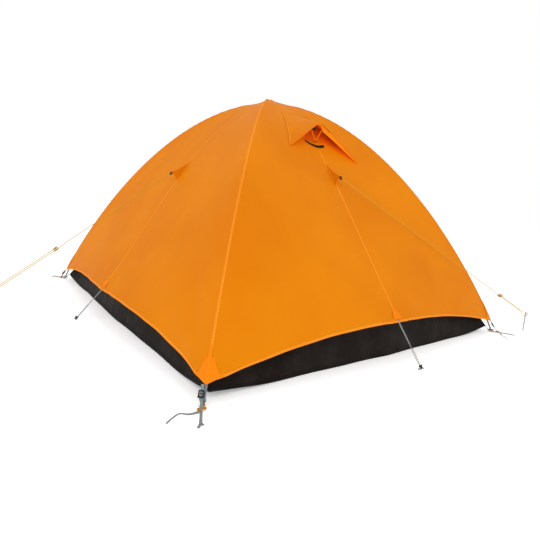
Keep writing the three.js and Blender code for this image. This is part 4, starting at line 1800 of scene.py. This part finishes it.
# ---- floor and inner tent ----
@dataclass
class Floor:
    """The bathtub floor: groundsheet and dark walls, lifted a little by the corner straps."""

    top: float = TUB_HEIGHT
    cloth: float = 0.0008
    cols: int = 120
    rows: int = 12
    fold: float = 0.055  # share of a wall's height that its bottom fold covers

    def foot(self, side: Side, s: float) -> Vector:
        """The bottom edge of a wall, slack between the corners and lifted at them.

        Args:
            side: the wall's side.
            s: place across, from -1 to 1.
        Returns:
            The place.
        """
        x, y = side.value
        half = FLOOR_CORNER.x if side.short else FLOOR_CORNER.y
        to_corner = half * max(0.0, 1 - abs(s))
        lift = CORNER_LIFT * math.exp(-((to_corner / 0.13) ** 1.3))
        slack = 0.010 * math.sin(math.pi * min(1.0, to_corner / 0.9)) + 0.0015 * math.sin(s * 17 + x + 2 * y)
        calm = min(1.0, to_corner / 0.10)
        if side.short:
            return Vector((s * FLOOR_CORNER.x, y * (FLOOR_CORNER.y - slack * calm), 0.003 + lift))
        return Vector((x * (FLOOR_CORNER.x - slack * calm), s * FLOOR_CORNER.y, 0.003 + lift))

    def wall_at(self, side: Side, s: float, v: float) -> Vector:
        """A place on a wall, from its foot at v = 0 to its top at v = 1.

        Args:
            side: the wall's side.
            s: place across, from -1 to 1.
            v: share of its height.
        Returns:
            The place.
        """
        foot = self.foot(side, s)
        head = INNER.at(side, s * 0.9985, self.top)
        place = foot.lerp(head, v)
        half = FLOOR_CORNER.x if side.short else FLOOR_CORNER.y
        calm = min(1.0, half * (1 - abs(s)) / 0.08) * math.sin(math.pi * min(1.0, 0.08 + v))
        a = s * half
        ripple = 0.0055 * noise.noise(Vector((a * 5.5, v * 0.8, side.value[0] * 5 + side.value[1] * 9)))
        ripple += 0.0030 * noise.noise(Vector((a * 16, v * 2.2, side.value[0] * 2 + side.value[1] * 4)))
        return place + side.out * ripple * calm

    def build(self) -> None:
        """Builds the four walls as one welded skin, their bottom fold and the groundsheet."""
        bm = bmesh.new()
        for side in Side:
            grid = [[bm.verts.new(self.wall_at(side, s, v)) for s in spaced(-1, 1, self.cols)]
                    for v in spaced(0, 1, self.rows)]
            quad_grid(bm, grid, upright_spots(grid, side))
        walls = sewn("tub_walls", bm, OXFORD, self.cloth)
        folds = []
        for side in Side:
            folds.append(skin(f"tub_bottom_fold_{side.tag}", lambda v, s, side=side: self.wall_at(side, s, v),
                              spaced(0.0, self.fold, 3), spaced(-0.995, 0.995, 110), OXFORD_FOLD, lift=0.0006,
                              thick=0.0012))
        mount("base", [walls, *folds], *(f"tub_wall_{side.tag}" for side in Side))
        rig.sheet(walls, flat=(0.19, 7.72), held="hung", rests_on=["inner_tent"], with_pieces=folds)
        self.groundsheet()
        LOG.info("floor: walls, %d folds and the groundsheet", len(folds))

    def groundsheet(self) -> None:
        """The cloth on the ground inside the walls."""
        def at(u: float, v: float) -> Vector:
            """A place on the cloth.

            Args:
                u: place across, from -1 to 1.
                v: place along, from -1 to 1.
            Returns:
                The place.
            """
            edge = max(abs(u), abs(v))
            side, s = (Side.LEFT if u < 0 else Side.RIGHT, v / edge) if abs(u) >= abs(v) else (
                Side.FRONT if v < 0 else Side.BACK, u / edge)
            rim = self.foot(side, s)
            flat = Vector((u * FLOOR_CORNER.x, v * FLOOR_CORNER.y, 0.0022))
            ripple = 0.0012 + 0.0012 * noise.noise(Vector((u * 5, v * 5, 2.0)))
            return flat.lerp(
                Vector((rim.x, rim.y, rim.z - 0.0006)), edge ** 14) + Vector((0, 0, ripple * (1 - edge)))

        cloth = skin(
            "groundsheet_cloth", lambda u, v: at(u if u or v else 1e-6, v), spaced(-0.999, 0.999, 60),
            spaced(-0.999, 0.999, 60), OXFORD, lift=-0.0016, thick=0.0012, inside=Vector((0, 0, -9)))
        mount("base", [cloth], "groundsheet")
        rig.sheet(cloth, flat=(1.80, 2.06), held="laid")


@dataclass
class InnerTent:
    """The pale inner tent, hung from the poles by clips."""

    door: tuple[tuple[float, float], ...] = ((0.045, 0.192), (0.500, 0.192), (0.077, 0.700), (0.045, 0.700))
    gap: float = 0.003
    cloth: float = 0.0006
    clip_shares: tuple[float, ...] = (0.30, 0.46, 0.62, 0.78)  # places up a pole
    clip_turn: float = 2.2  # how far a clip's hook reaches round the pole each way, in radians

    def at(self, side: Side, s: float, z: float) -> Vector:
        """A place on an inner wall, with its slack between the clips.

        Args:
            side: the wall's side.
            s: place across, from -1 to 1.
            z: height.
        Returns:
            The place.
        """
        place = INNER.at(side, s, z)
        half = max(INNER.width(side, z), 1e-4)
        calm = min(1.0, half * (1 - abs(s)) / 0.08) * min(1.0, max(0.0, (INNER_TOP - z) / 0.1))
        slack = 0.006 * noise.noise(Vector((s * half * 4, z * 4, side.value[0] * 3 + side.value[1] * 6)))
        return place - side.out * (0.004 + slack) * calm

    def on_door(self, y: float, z: float) -> Vector:
        """A place on the +X wall, by its Y and its height."""
        return self.at(Side.RIGHT, y / INNER.width(Side.RIGHT, z), z)

    def slant(self, z: float, inset: float) -> float:
        """Y of the inner door's slanted edge at a height."""
        (_, _), (y0, z0), (y1, z1), _ = self.door
        return y0 + (y1 - y0) * (z - z0) / (z1 - z0) - inset * 1.3

    def in_door(self, place: Vector, inset: float) -> bool:
        """Whether a place on the +X wall lies inside the door's outline.

        Args:
            place: the place.
            inset: how far inside the outline it has to be.
        Returns:
            Whether it lies inside.
        """
        low, high = self.door[0][1] + inset, self.door[2][1] - inset
        inside_y = self.door[0][0] + inset < place.y < self.slant(place.z, inset)
        return place.x > 0.1 and low < place.z < high and inside_y

    def wall(self, bm: BMesh, side: Side, cols: int = 44, rows: int = 44) -> None:
        """Adds one wall's surface to a mesh.

        Args:
            bm: the mesh that it is added to.
            side: the wall's side.
            cols: faces across.
            rows: faces up.
        """
        grid = []
        for j in range(rows + 1):
            climb = 1 - (1 - j / rows) ** CROWDING
            z = TUB_HEIGHT + 0.001 + (INNER.peak - TUB_HEIGHT - 0.0012) * climb
            grid.append([bm.verts.new(self.at(side, s, z)) for s in spaced(-1, 1, cols)])
        quad_grid(bm, grid, upright_spots(grid, side))

    def cut_door(self, bm: BMesh, inset: float) -> None:
        """Cuts the door's outline into the +X wall.

        Args:
            bm: the mesh.
            inset: how far inside the outline the cut runs.
        """
        (y_zip, z_low), (y0, z0), (y1, z1), _ = self.door
        slope = Vector((0, z1 - z0, y0 - y1)).normalized()
        edges = [(Vector((0, y_zip + inset, 0)), NORTH), (Vector((0, 0, z_low + inset)), UP),
                 (Vector((0, 0, z1 - inset)), UP), (Vector((0, self.slant(z0, inset), z0)), slope)]
        for place, normal in edges:
            cut(bm, place, normal, [f for f in bm.faces if f.calc_center_median().x > 0.1])

    def build(self) -> None:
        """Builds the walls, the door leaf, the ridge tapes and the clips."""
        bm = bmesh.new()
        for side in Side:
            self.wall(bm, side)
        self.cut_door(bm, 0.0)
        walls = sewn("inner_tent", bm, GLOWING_NYLON, self.cloth, gone=lambda place: self.in_door(place, 0.0))
        extras = [self.ridge_tape(corner) for corner in Corner] + self.door_trim()
        mount("base", [walls, *extras], "inner_front_wall", "inner_back_wall", "inner_left_wall",
              "inner_door_wall")
        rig.sheet(walls, flat=(3.00, 3.20), area=6.0, held="hung", rests_on=["pole_a_tube", "pole_b_tube"],
                 with_pieces=extras)
        self.door_leaf()
        clips = self.clips()
        LOG.info("inner tent: %d extras and %d clips", len(extras), clips)

    def ridge_tape(self, corner: Corner) -> Piece:
        """The taped seam under a pole.

        Args:
            corner: the corner at its foot.
        Returns:
            The new piece.
        """
        sx, sy = corner.value

        def at(d: float, z: float) -> Vector:
            """A place on the tape, which bends over the ridge."""
            side, sign = (corner.long_side, sy) if d < 0 else (corner.short_side, sx)
            return self.at(side, sign * max(0.0, 1 - abs(d) / INNER.width(side, z)), z)

        return skin(f"inner_ridge_tape_{corner.tag}", at, spaced(-0.008, 0.008, 4),
                    spaced(TUB_HEIGHT + 0.004, INNER.shoulder - 0.02, 90), WEBBING, lift=0.0004)

    def door_trim(self) -> list[Piece]:
        """The zip tapes around the inner door's opening.

        Returns:
            The two tapes.
        """
        (y_zip, z_low), (y0, _), (_, z1), _ = self.door
        return [skin("inner_zip_tape_upright", lambda d, z: self.on_door(y_zip - d, z),
                     spaced(0.001, 0.013, 3),
                     spaced(z_low, z1, 40), ZIP_TAPE),
                skin("inner_zip_tape_level", lambda d, y: self.on_door(y, z_low - d), spaced(0.001, 0.010, 3),
                     spaced(y_zip, y0, 40), ZIP_TAPE)]

    def door_leaf(self) -> None:
        """The inner door's own cloth with its edge tape."""
        bm = bmesh.new()
        self.wall(bm, Side.RIGHT, 60, 60)
        self.cut_door(bm, self.gap)
        leaf = sewn("inner_door_leaf", bm, GLOWING_NYLON, self.cloth, weld=False,
                    gone=lambda place: not self.in_door(place, self.gap))
        y_zip, z_low = self.door[0]
        tape = skin("inner_door_edge_tape", lambda d, z: self.on_door(y_zip + self.gap + d, z),
                    spaced(0.0, 0.010, 3), spaced(z_low + 0.005, self.door[2][1] - 0.01, 40), ZIP_TAPE)
        mount("inner_door", [leaf, tape], "inner_door_flap")
        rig.sheet(
            leaf, flat=(0.455, 0.55), area=0.13, held="hung", rests_on=["inner_tent"], with_pieces=[tape])

    def clips(self) -> int:
        """Hooks the inner tent to the poles with moulded clips on short tapes.

        Returns:
            How many clips were made.
        """
        made = 0
        for corner in Corner:
            bm, tapes = bmesh.new(), bmesh.new()
            for share in self.clip_shares:
                pole = Poles.centre(corner, share)
                ahead = Poles.centre(corner, share + 0.01)
                along = (ahead - pole).normalized()
                level = Vector((-pole.y, pole.x, 0)).normalized()
                inward = level.cross(along).normalized()
                if inward.z > 0:
                    inward = -inward
                hook = [pole + (level * math.sin(turn) + inward * math.cos(turn)) * (POLE_RADIUS + 0.0022)
                        for turn in spaced(-self.clip_turn, self.clip_turn, 14)]
                sweep(bm, hook, flat_oval(0.012, 0.0024), along)
                sweep(bm, [pole + inward * d for d in (0.006, 0.012, 0.017)], flat_oval(0.010, 0.004), along)
                sweep(tapes, [pole + inward * d for d in (0.012, 0.026, 0.034)], flat_oval(0.009, 0.0016),
                      along)
                made += 1
            hooks = finish_mesh(f"inner_clips_{corner.tag}", bm, ACETAL)
            straps = finish_mesh(f"inner_clip_tapes_{corner.tag}", tapes, WEBBING)
            mount("base", [hooks, straps])
        return made


# ---- poles ----
@dataclass
class Poles:
    """Two shock-corded aluminium poles of eight sections, crossing under the peak."""

    drop: float = 0.019
    inset: float = 0.987
    crossing: float = 0.0094
    tip: float = 0.0125
    sections: int = 8

    @staticmethod
    def centre(corner: Corner, share: float, dip: float = 0.0) -> Vector:
        """A place on a pole's centre line, from a foot at 0 to the crossing at 1.

        Args:
            corner: the corner that the pole stands in.
            share: how far up the arch, as an angle.
            dip: how far it passes under the other pole.
        Returns:
            The place.
        """
        sx, sy = corner.value
        turn = math.pi / 2 * share
        out = math.cos(turn) ** FLY.out_power if share < 1 else 0.0
        z = (FLY_TOP - Poles.drop) * math.sin(turn) ** FLY.up_power
        low = max(z, Poles.tip) - dip * math.exp(-((out / 0.12) ** 2))
        return Vector((sx * out * FOOT_X * Poles.inset, sy * out * FOOT_Y * Poles.inset, low))

    def line(self, start: Corner, end: Corner, dip: float) -> list[Vector]:
        """The centre line from one foot over the crossing to the other.

        Args:
            start: the corner where it starts.
            end: the corner where it ends.
            dip: how far it passes under the other pole.
        Returns:
            The points of the line.
        """
        up = [self.centre(start, t, dip) for t in spaced(0.02, 1, 90)]
        down = [self.centre(end, t, dip) for t in spaced(0.02, 1, 90)]
        return up + down[:-1][::-1]

    def build(self) -> None:
        """Builds both poles with their ferrules and tips, and the crossing clip."""
        for tag, start, end, dip in (("a", Corner.NEAR, Corner.FAR, 0.0),
                                     ("b", Corner.LEFT, Corner.RIGHT, self.crossing)):
            line = self.line(start, end, dip)
            pole = tube(f"pole_{tag}_tube", [line], POLE_RADIUS, SILVER, sides=16)
            ferrules = bmesh.new()
            count = len(line)
            for k in range(1, self.sections):
                i = round(count * k / self.sections)
                sweep(ferrules, line[i - 2:i + 3], circle(POLE_RADIUS + 0.0006, 16))
            sleeves = finish_mesh(f"pole_{tag}_ferrules", ferrules, DARK_SILVER)
            tips = bmesh.new()
            for foot, above in ((line[0], line[1]), (line[-1], line[-2])):
                profile = [(0.0, 0.0), (0.0, 0.0030), (0.002, 0.0042), (0.005, 0.0044), (0.007, 0.0030),
                           (0.010, 0.0028), (0.012, 0.0046), (0.026, 0.0049), (0.027, 0.0042)]
                lathe(tips, foot - (above - foot).normalized() * 0.010, above - foot, profile)
            ends = finish_mesh(f"pole_{tag}_tips", tips, DARK_SILVER)
            mount("base", [pole, sleeves, ends], f"pole_{tag}")
        self.hub()
        LOG.info("poles: two, with ferrules, tips and the crossing clip")

    def hub(self) -> None:
        """The moulded swivel clip that holds both poles at the crossing."""
        low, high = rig.box("pole_hub")
        foot = Vector((0, 0, low.z))
        height = high.z - low.z
        bm = bmesh.new()
        profile = [(0.0, 0.0), (0.0, 0.016), (0.0015, 0.0175), (height * 0.4, 0.0175), (height * 0.55, 0.014),
                   (height * 0.8, 0.012), (height, 0.009), (height, 0.0)]
        lathe(bm, foot, UP, profile, 32)
        for k in range(4):
            turn = math.tau * k / 4 + math.atan2(FOOT_Y, FOOT_X)
            out = Vector((math.cos(turn), math.sin(turn), 0))
            side = Vector((-out.y, out.x, 0))
            rounded_block(bm, foot + out * 0.014 + Vector((0, 0, height * 0.35)), (out, side, UP),
                          (0.012, 0.007, height * 0.6), 0.0012)
        piece = finish_mesh("pole_crossing_clip", bm, ACETAL)
        mount("base", [piece], "pole_hub")


# ---- corner fastenings ----
@dataclass
class FootFittings:
    """What fastens one corner: tab, buckle, straps, foot piece and tails."""

    corner: Corner
    loose: tuple[tuple[float, float], ...]
    fork: tuple[tuple[float, float], ...]
    ring_long: float = 0.0128
    ring_short: float = 0.00436
    ring_wire: float = 0.0026

    def __post_init__(self) -> None:
        """Works out the corner's own directions from the foot."""
        sx, sy = self.corner.value
        self.out = Vector((sx * FOOT_X, sy * FOOT_Y, 0)).normalized()
        self.across = Vector((-self.out.y, self.out.x, 0)) * (sx * sy)
        self.foot = Vector((sx * FOOT_X, sy * FOOT_Y, 0)) * Poles.inset
        tip = FLY.at(self.corner.long_side, sy, HEM_CORNER)
        self.reach = (tip - self.foot).dot(self.out)

    def at(self, out: float, across: float, z: float) -> Vector:
        """A place near the foot: outward, across and up from it.

        Args:
            out: distance outward.
            across: distance across.
            z: height.
        Returns:
            The place.
        """
        place = self.foot + self.out * out + self.across * across
        place.z = z
        return place

    def line(self, k: float, z: float) -> Vector:
        """A place on the slanting line from the flysheet's corner to the foot."""
        return self.at(self.reach + (0.019 - self.reach) * k, -ASIDE, z)

    def build(self) -> None:
        """Builds every piece of the corner."""
        self.tab()
        self.buckle()
        self.fly_strap()
        self.floor_web()
        self.grommet()
        LOG.info("corner %s: fittings made", self.corner.tag)

    def tab(self) -> None:
        """The webbing loop from the flysheet's corner round the buckle's top bar."""
        top, end = self.line(0.02, 0.0645), self.line(0.30, 0.0495)
        bm = bmesh.new()
        lift = self.out * 0.0010 + Vector((0, 0, 0.0012))
        for sign in (-1, 1):
            sweep(bm, spline([top, top.lerp(end, 0.5) + lift * sign, end + lift * sign * 0.8]),
                  flat_oval(WEB_WIDTH, 0.0012), self.across)
        piece = finish_mesh(f"fly_corner_tab_{self.corner.tag}", bm, WEBBING)
        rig.replaces(piece, f"fly_tab_{self.corner.tag}")
        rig.blend(
            piece, "fly", f"lock_{self.corner.tag}", start=self.line(0.06, 0.062), end=self.line(0.28, 0.051))

    def buckle(self) -> None:
        """The ladder-lock buckle: two side rails, three bars and a raised lip."""
        low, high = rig.box(f"ladder_lock_{self.corner.tag}")
        centre = (low + high) / 2
        down = (self.line(0.8, 0.027) - self.line(0.24, 0.052)).normalized()
        face = self.across.cross(down).normalized()
        if face.dot(self.out) < 0:
            face = -face
        bm = bmesh.new()
        axes = (down, self.across, face)
        for sign in (-1, 1):
            rounded_block(bm, centre + self.across * sign * 0.0077, axes, (0.0230, 0.0034, 0.0056), 0.0009)
        for place, rise, size in ((-0.0096, 0.0026, 0.0038), (-0.0010, 0.0026, 0.0020),
                                  (0.0040, -0.0020, 0.0026),
                                  (0.0092, 0.0028, 0.0050)):
            rounded_block(bm, centre + down * place + face * rise, axes, (size, 0.0150, 0.0020), 0.0006)
        piece = finish_mesh(f"ladder_lock_body_{self.corner.tag}", bm, ACETAL)
        mount(f"lock_{self.corner.tag}", [piece], f"ladder_lock_{self.corner.tag}")

    def fly_strap(self) -> None:
        """The strap that runs through the buckle to the foot, with its long loose tail."""
        points = [
            self.line(0.36, 0.0466), self.line(0.70, 0.0315), self.line(0.93, 0.0212) + self.across * 0.006,
            self.at(0.026, 0.000, 0.0125), self.at(0.036, 0.002, 0.0064)]
        points += [self.at(o, a, 0.0030) for o, a in self.loose]
        piece = strap(f"fly_corner_strap_{self.corner.tag}", points, self.across, thick=0.0026,
                      scale=lambda t: 1.0 - 0.5 * min(1.0, 1.6 * t) ** 3)
        mount("fly", [piece], f"fly_strap_{self.corner.tag}")

    def floor_web(self) -> None:
        """The webbing from the floor's corner under the pole tip, folded into a Y-shaped pull tail."""
        bm = bmesh.new()
        start = [self.at(-0.040, -ASIDE, 0.0320), self.at(-0.024, -ASIDE, 0.0150),
                 self.at(-0.012, -ASIDE, 0.0030), self.at(0.010, -ASIDE * 0.7, 0.0020),
                 self.at(0.044, 0.004, 0.0020), self.at(0.074, 0.011, 0.0020), self.at(0.098, 0.0165, 0.0020)]
        for (o, a), lift in zip(self.fork, (0.0, 0.0016)):
            points = [p + Vector((0, 0, lift)) for p in start] + [self.at(o, a, 0.0018 + lift)]
            sweep(bm, spline(points), flat_oval(0.0085, 0.0014), self.across)
        piece = finish_mesh(f"floor_corner_web_{self.corner.tag}", bm, WEBBING)
        mount("base", [piece], f"foot_web_{self.corner.tag}")

    def grommet(self) -> None:
        """The anodised foot piece: a flat ring across the webbing, with a socket for the pole tip."""
        bm = bmesh.new()
        ring = []
        for k in range(64):
            turn = math.tau * k / 64
            c, s = math.cos(turn), math.sin(turn)
            a = math.copysign(abs(c) ** 0.5, c) * self.ring_long
            o = math.copysign(abs(s) ** 0.7, s) * self.ring_short
            ring.append(self.at(0.030 + o * 0.83 - a * 0.56, 0.002 + o * 0.56 + a * 0.83, 0.0072))
        sweep(bm, ring, circle(self.ring_wire, 10), UP, loop=True)
        profile = [
            (0.0, 0.0), (0.0, 0.0050), (0.001, 0.0060), (0.0055, 0.0060), (0.0065, 0.0052), (0.0065, 0.0)]
        lathe(bm, self.at(0.001, 0.0, 0.0004), UP, profile)
        piece = finish_mesh(f"foot_ring_{self.corner.tag}", bm, GOLD)
        mount("base", [piece], f"foot_grommet_{self.corner.tag}")


@dataclass
class TieOut:
    """The tie-out in the middle of a side: webbing tab, cord loop, knot and peg."""

    side: Side
    beyond: float = 0.128  # how far out of the pole feet its peg stands
    middle: float = 0.50  # share of the way at which the tab ends and the loop starts
    low: float = 0.0095

    def build(self) -> None:
        """Builds the tab and loop on the flysheet and the peg on the ground."""
        tag = self.side.tag
        across = Vector((self.side.value[1], -self.side.value[0], 0))
        hem = hem_height(self.side, 0)
        start = (fly_at(self.side, 0, hem)).dot(self.side.out) + 0.0015
        end = (FOOT_Y if self.side.short else FOOT_X) + self.beyond
        middle = self.middle

        def at(d: float, a: float, z: float) -> Vector:
            """A place at distances out of the tent and across, and at a height."""
            return self.side.out * d + across * a + Vector((0, 0, z))

        def taut(t: float, a: float = 0.0) -> Vector:
            """A place on the straight line from hem to peg, moved across by a."""
            return at(start + (end - 0.004 - start) * t, a, hem - 0.004 + (self.low - hem + 0.004) * t)

        bm = bmesh.new()
        tab = [at(start - 0.004, 0, hem + 0.010), taut(0.0), taut(middle * 0.5), taut(middle)]
        sweep(bm, spline(tab), flat_oval(WEB_WIDTH, 0.0022), across, lambda t: 1.0 - 0.25 * t)
        webbing = finish_mesh(f"tieout_web_{tag}", bm, WEBBING)
        strands = []
        for sign in (-1, 1):
            spread = ((0.0, 0.0008), (0.12, 0.0036), (0.5, 0.0048), (0.9, 0.0030), (1.0, 0.0012))
            strands.append(spline([taut(middle + (1 - middle) * t, a * sign) for t, a in spread]))
        loop = tube(f"tieout_loop_{tag}", strands, 0.0012, GREY_CORD, sides=8)
        knot_line = []
        for i in range(70):
            turn = math.tau * i / 22
            swell = 0.0042 + 0.0008 * math.sin(turn * 0.7)
            knot_line.append(at(end - 0.007 + 0.008 * i / 69 + 0.0012 * math.sin(turn * 2),
                                math.cos(turn) * swell,
                                self.low + math.sin(turn) * swell * 0.9))
        tails = [
            [at(end + 0.002, 0, 0.009), at(end + 0.006, 0.008, 0.004), at(end - 0.002, 0.018, 0.0022)],
            [at(end + 0.002, 0, 0.009), at(end + 0.004, -0.006, 0.005), at(end + 0.0035, -0.015, 0.0022)]]
        knot = tube(f"tieout_knot_{tag}", [knot_line, *map(spline, tails)], 0.0019, BLACK_CORD, sides=8)
        mount("fly", [webbing, loop, knot], f"tieout_{tag}")
        self.peg()
        LOG.info("tie-out %s: tab, loop, knot and peg", tag)

    def peg(self) -> None:
        """The head of the peg, turned over like a hook."""
        low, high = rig.box(f"tieout_peg_{self.side.tag}")
        centre = (low + high) / 2
        bm = bmesh.new()
        points = [Vector((centre.x, centre.y, low.z)), Vector((centre.x, centre.y, low.z + 0.008)),
                  Vector((centre.x, centre.y, high.z - 0.002)) + self.side.out * 0.0004,
                  Vector((centre.x, centre.y, high.z - 0.0012)) - self.side.out * 0.0018]
        sweep(bm, spline(points, 0.001), circle(0.0024, 10))
        piece = finish_mesh(f"tieout_peg_head_{self.side.tag}", bm, ACETAL)
        mount("base", [piece], f"tieout_peg_{self.side.tag}")


@dataclass
class ZipSlider:
    """The slider of the flysheet door's zip, with its pull cord."""

    body: tuple[float, float, float] = (0.012, 0.0086, 0.0022)
    bridge: tuple[float, float, float] = (0.009, 0.0030, 0.0020)
    pull_width: float = 0.005

    def build(self) -> None:
        """Builds the slider's body, bridge and cord pull in place of the plain block."""
        low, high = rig.box("fly_zip_slider")
        centre = (low + high) / 2
        run = Vector((low.x - high.x, 0, high.z - low.z)).normalized()
        level = NORTH
        face = level.cross(run).normalized()
        if face.x < 0:
            face = -face
        bm = bmesh.new()
        rounded_block(bm, centre - face * 0.0008, (run, level, face), self.body, 0.0009)
        rounded_block(bm, centre + run * 0.0005 + face * 0.0010, (run, level, face), self.bridge, 0.0008)
        body = finish_mesh("zip_slider_body", bm, ACETAL)
        points = [centre + face * 0.0014, centre + face * 0.0020 - run * 0.006,
                  centre + face * 0.0014 - run * 0.0125]
        pull = strap("zip_slider_pull", points, level, BINDING, self.pull_width, 0.0012)
        mount("zip", [body, pull], "fly_zip_slider")
        LOG.info("zip slider: body and pull")


# ---- studio ----
@dataclass
class Studio:
    """The pale floor, the soft lights and the camera."""

    eye: Vector = field(default_factory=lambda: Vector((-1.49226, -2.07273, 0.61041)))
    ahead: Vector = field(default_factory=lambda: Vector((0.60054, 0.78493, -0.15246)))
    up: Vector = field(default_factory=lambda: Vector((0.03035, 0.16816, 0.98529)))
    lens: float = 27.03
    sensor: float = 36.0

    def camera(self) -> None:
        """Sets up the camera."""
        data = bpy.data.cameras.new("camera")
        data.lens, data.sensor_width, data.clip_end = self.lens, self.sensor, 100.0
        camera = bpy.data.objects.new("camera", data)
        bpy.context.scene.collection.objects.link(camera)
        back = -self.ahead.normalized()
        right = self.up.cross(back).normalized()
        top = back.cross(right)
        matrix = Matrix((right, top, back)).transposed().to_4x4()
        matrix.translation = self.eye
        camera.matrix_world = matrix
        bpy.context.scene.camera = camera

    def floor(self) -> None:
        """A wide pale floor."""
        bm = bmesh.new()
        bmesh.ops.create_grid(bm, x_segments=24, y_segments=24, size=40.0)
        matt = Finish("matt white studio floor", "fly_fabric", "FAFAFA", 0.9)
        piece = finish_mesh("studio_floor", bm, matt)
        shader = matt.material().node_tree.nodes["Principled BSDF"]
        shader.inputs["Emission Color"].default_value = linear("FFFFFF")
        shader.inputs["Emission Strength"].default_value = 0.3
        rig.stage(piece)

    def lights(self) -> None:
        """Soft white surroundings and two large soft boxes."""
        world = bpy.data.worlds.new("studio")
        world.use_nodes = True
        world.node_tree.nodes["Background"].inputs["Color"].default_value = linear("FFFFFF")
        world.node_tree.nodes["Background"].inputs["Strength"].default_value = 1.0
        bpy.context.scene.world = world
        for name, place, power, size in (("key", Vector((-3.4, -3.8, 4.4)), 52.0, 3.0),
                                         ("fill", Vector((3.4, -2.6, 4.0)), 6.0, 4.0)):
            data = bpy.data.lights.new(name, "AREA")
            data.energy, data.size, data.shape = power, size, "SQUARE"
            lamp = bpy.data.objects.new(name, data)
            bpy.context.scene.collection.objects.link(lamp)
            lamp.location = place
            aim = Vector((0, 0, 0.5)) - place
            lamp.rotation_euler = aim.to_track_quat("-Z", "Y").to_euler()
        bpy.context.scene.view_settings.view_transform = "Standard"


def guys() -> list[GuyLine]:
    """The two guy lines, on the front and on the left."""
    return [GuyLine("front", Side.FRONT, Vector((0, -0.631, 0.782)), Vector((1.160, -1.132, 0.100)), 0.83,
                    strands=0.0034),
            GuyLine("left", Side.LEFT, Vector((-0.607, 0, 0.750)), Vector((-1.390, 0.290, 0.100)), 0.65)]


TAILS = {
    Corner.NEAR: (((0.050, -0.012), (0.061, -0.032), (0.062, -0.054), (0.088, -0.066), (0.122, -0.074)),
                  ((0.124, 0.016), (0.110, 0.027))),
    Corner.RIGHT: (((0.044, 0.020), (0.034, 0.054), (0.042, 0.088), (0.044, 0.126)),
                   ((0.122, 0.014), (0.112, 0.026))),
    Corner.LEFT: (((0.050, -0.008), (0.068, -0.014), (0.092, -0.010)), ((0.120, 0.014), (0.110, 0.026))),
    Corner.FAR: (((0.050, -0.008), (0.068, -0.016), (0.100, -0.020)), ((0.122, 0.014), (0.112, 0.026))),
}


def main() -> None:
    logging.basicConfig(level=logging.INFO)
    studio = Studio()
    studio.camera()
    for guy in guys():
        guy.build()
    Poles().build()
    Floor().build()
    InnerTent().build()
    Flysheet().build()
    VentHood().build()
    ZipSlider().build()
    for corner, (loose, fork) in TAILS.items():
        FootFittings(corner, loose, fork).build()
    for side in Side:
        TieOut(side).build()
    studio.floor()
    studio.lights()
    boxes = {"cad": [list(c) for c in CAD_BOX], "visual": [list(c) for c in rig.bounds()]}
    with open("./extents.json", "w") as out:
        json.dump(boxes, out)


if __name__ == "__main__":
    main()
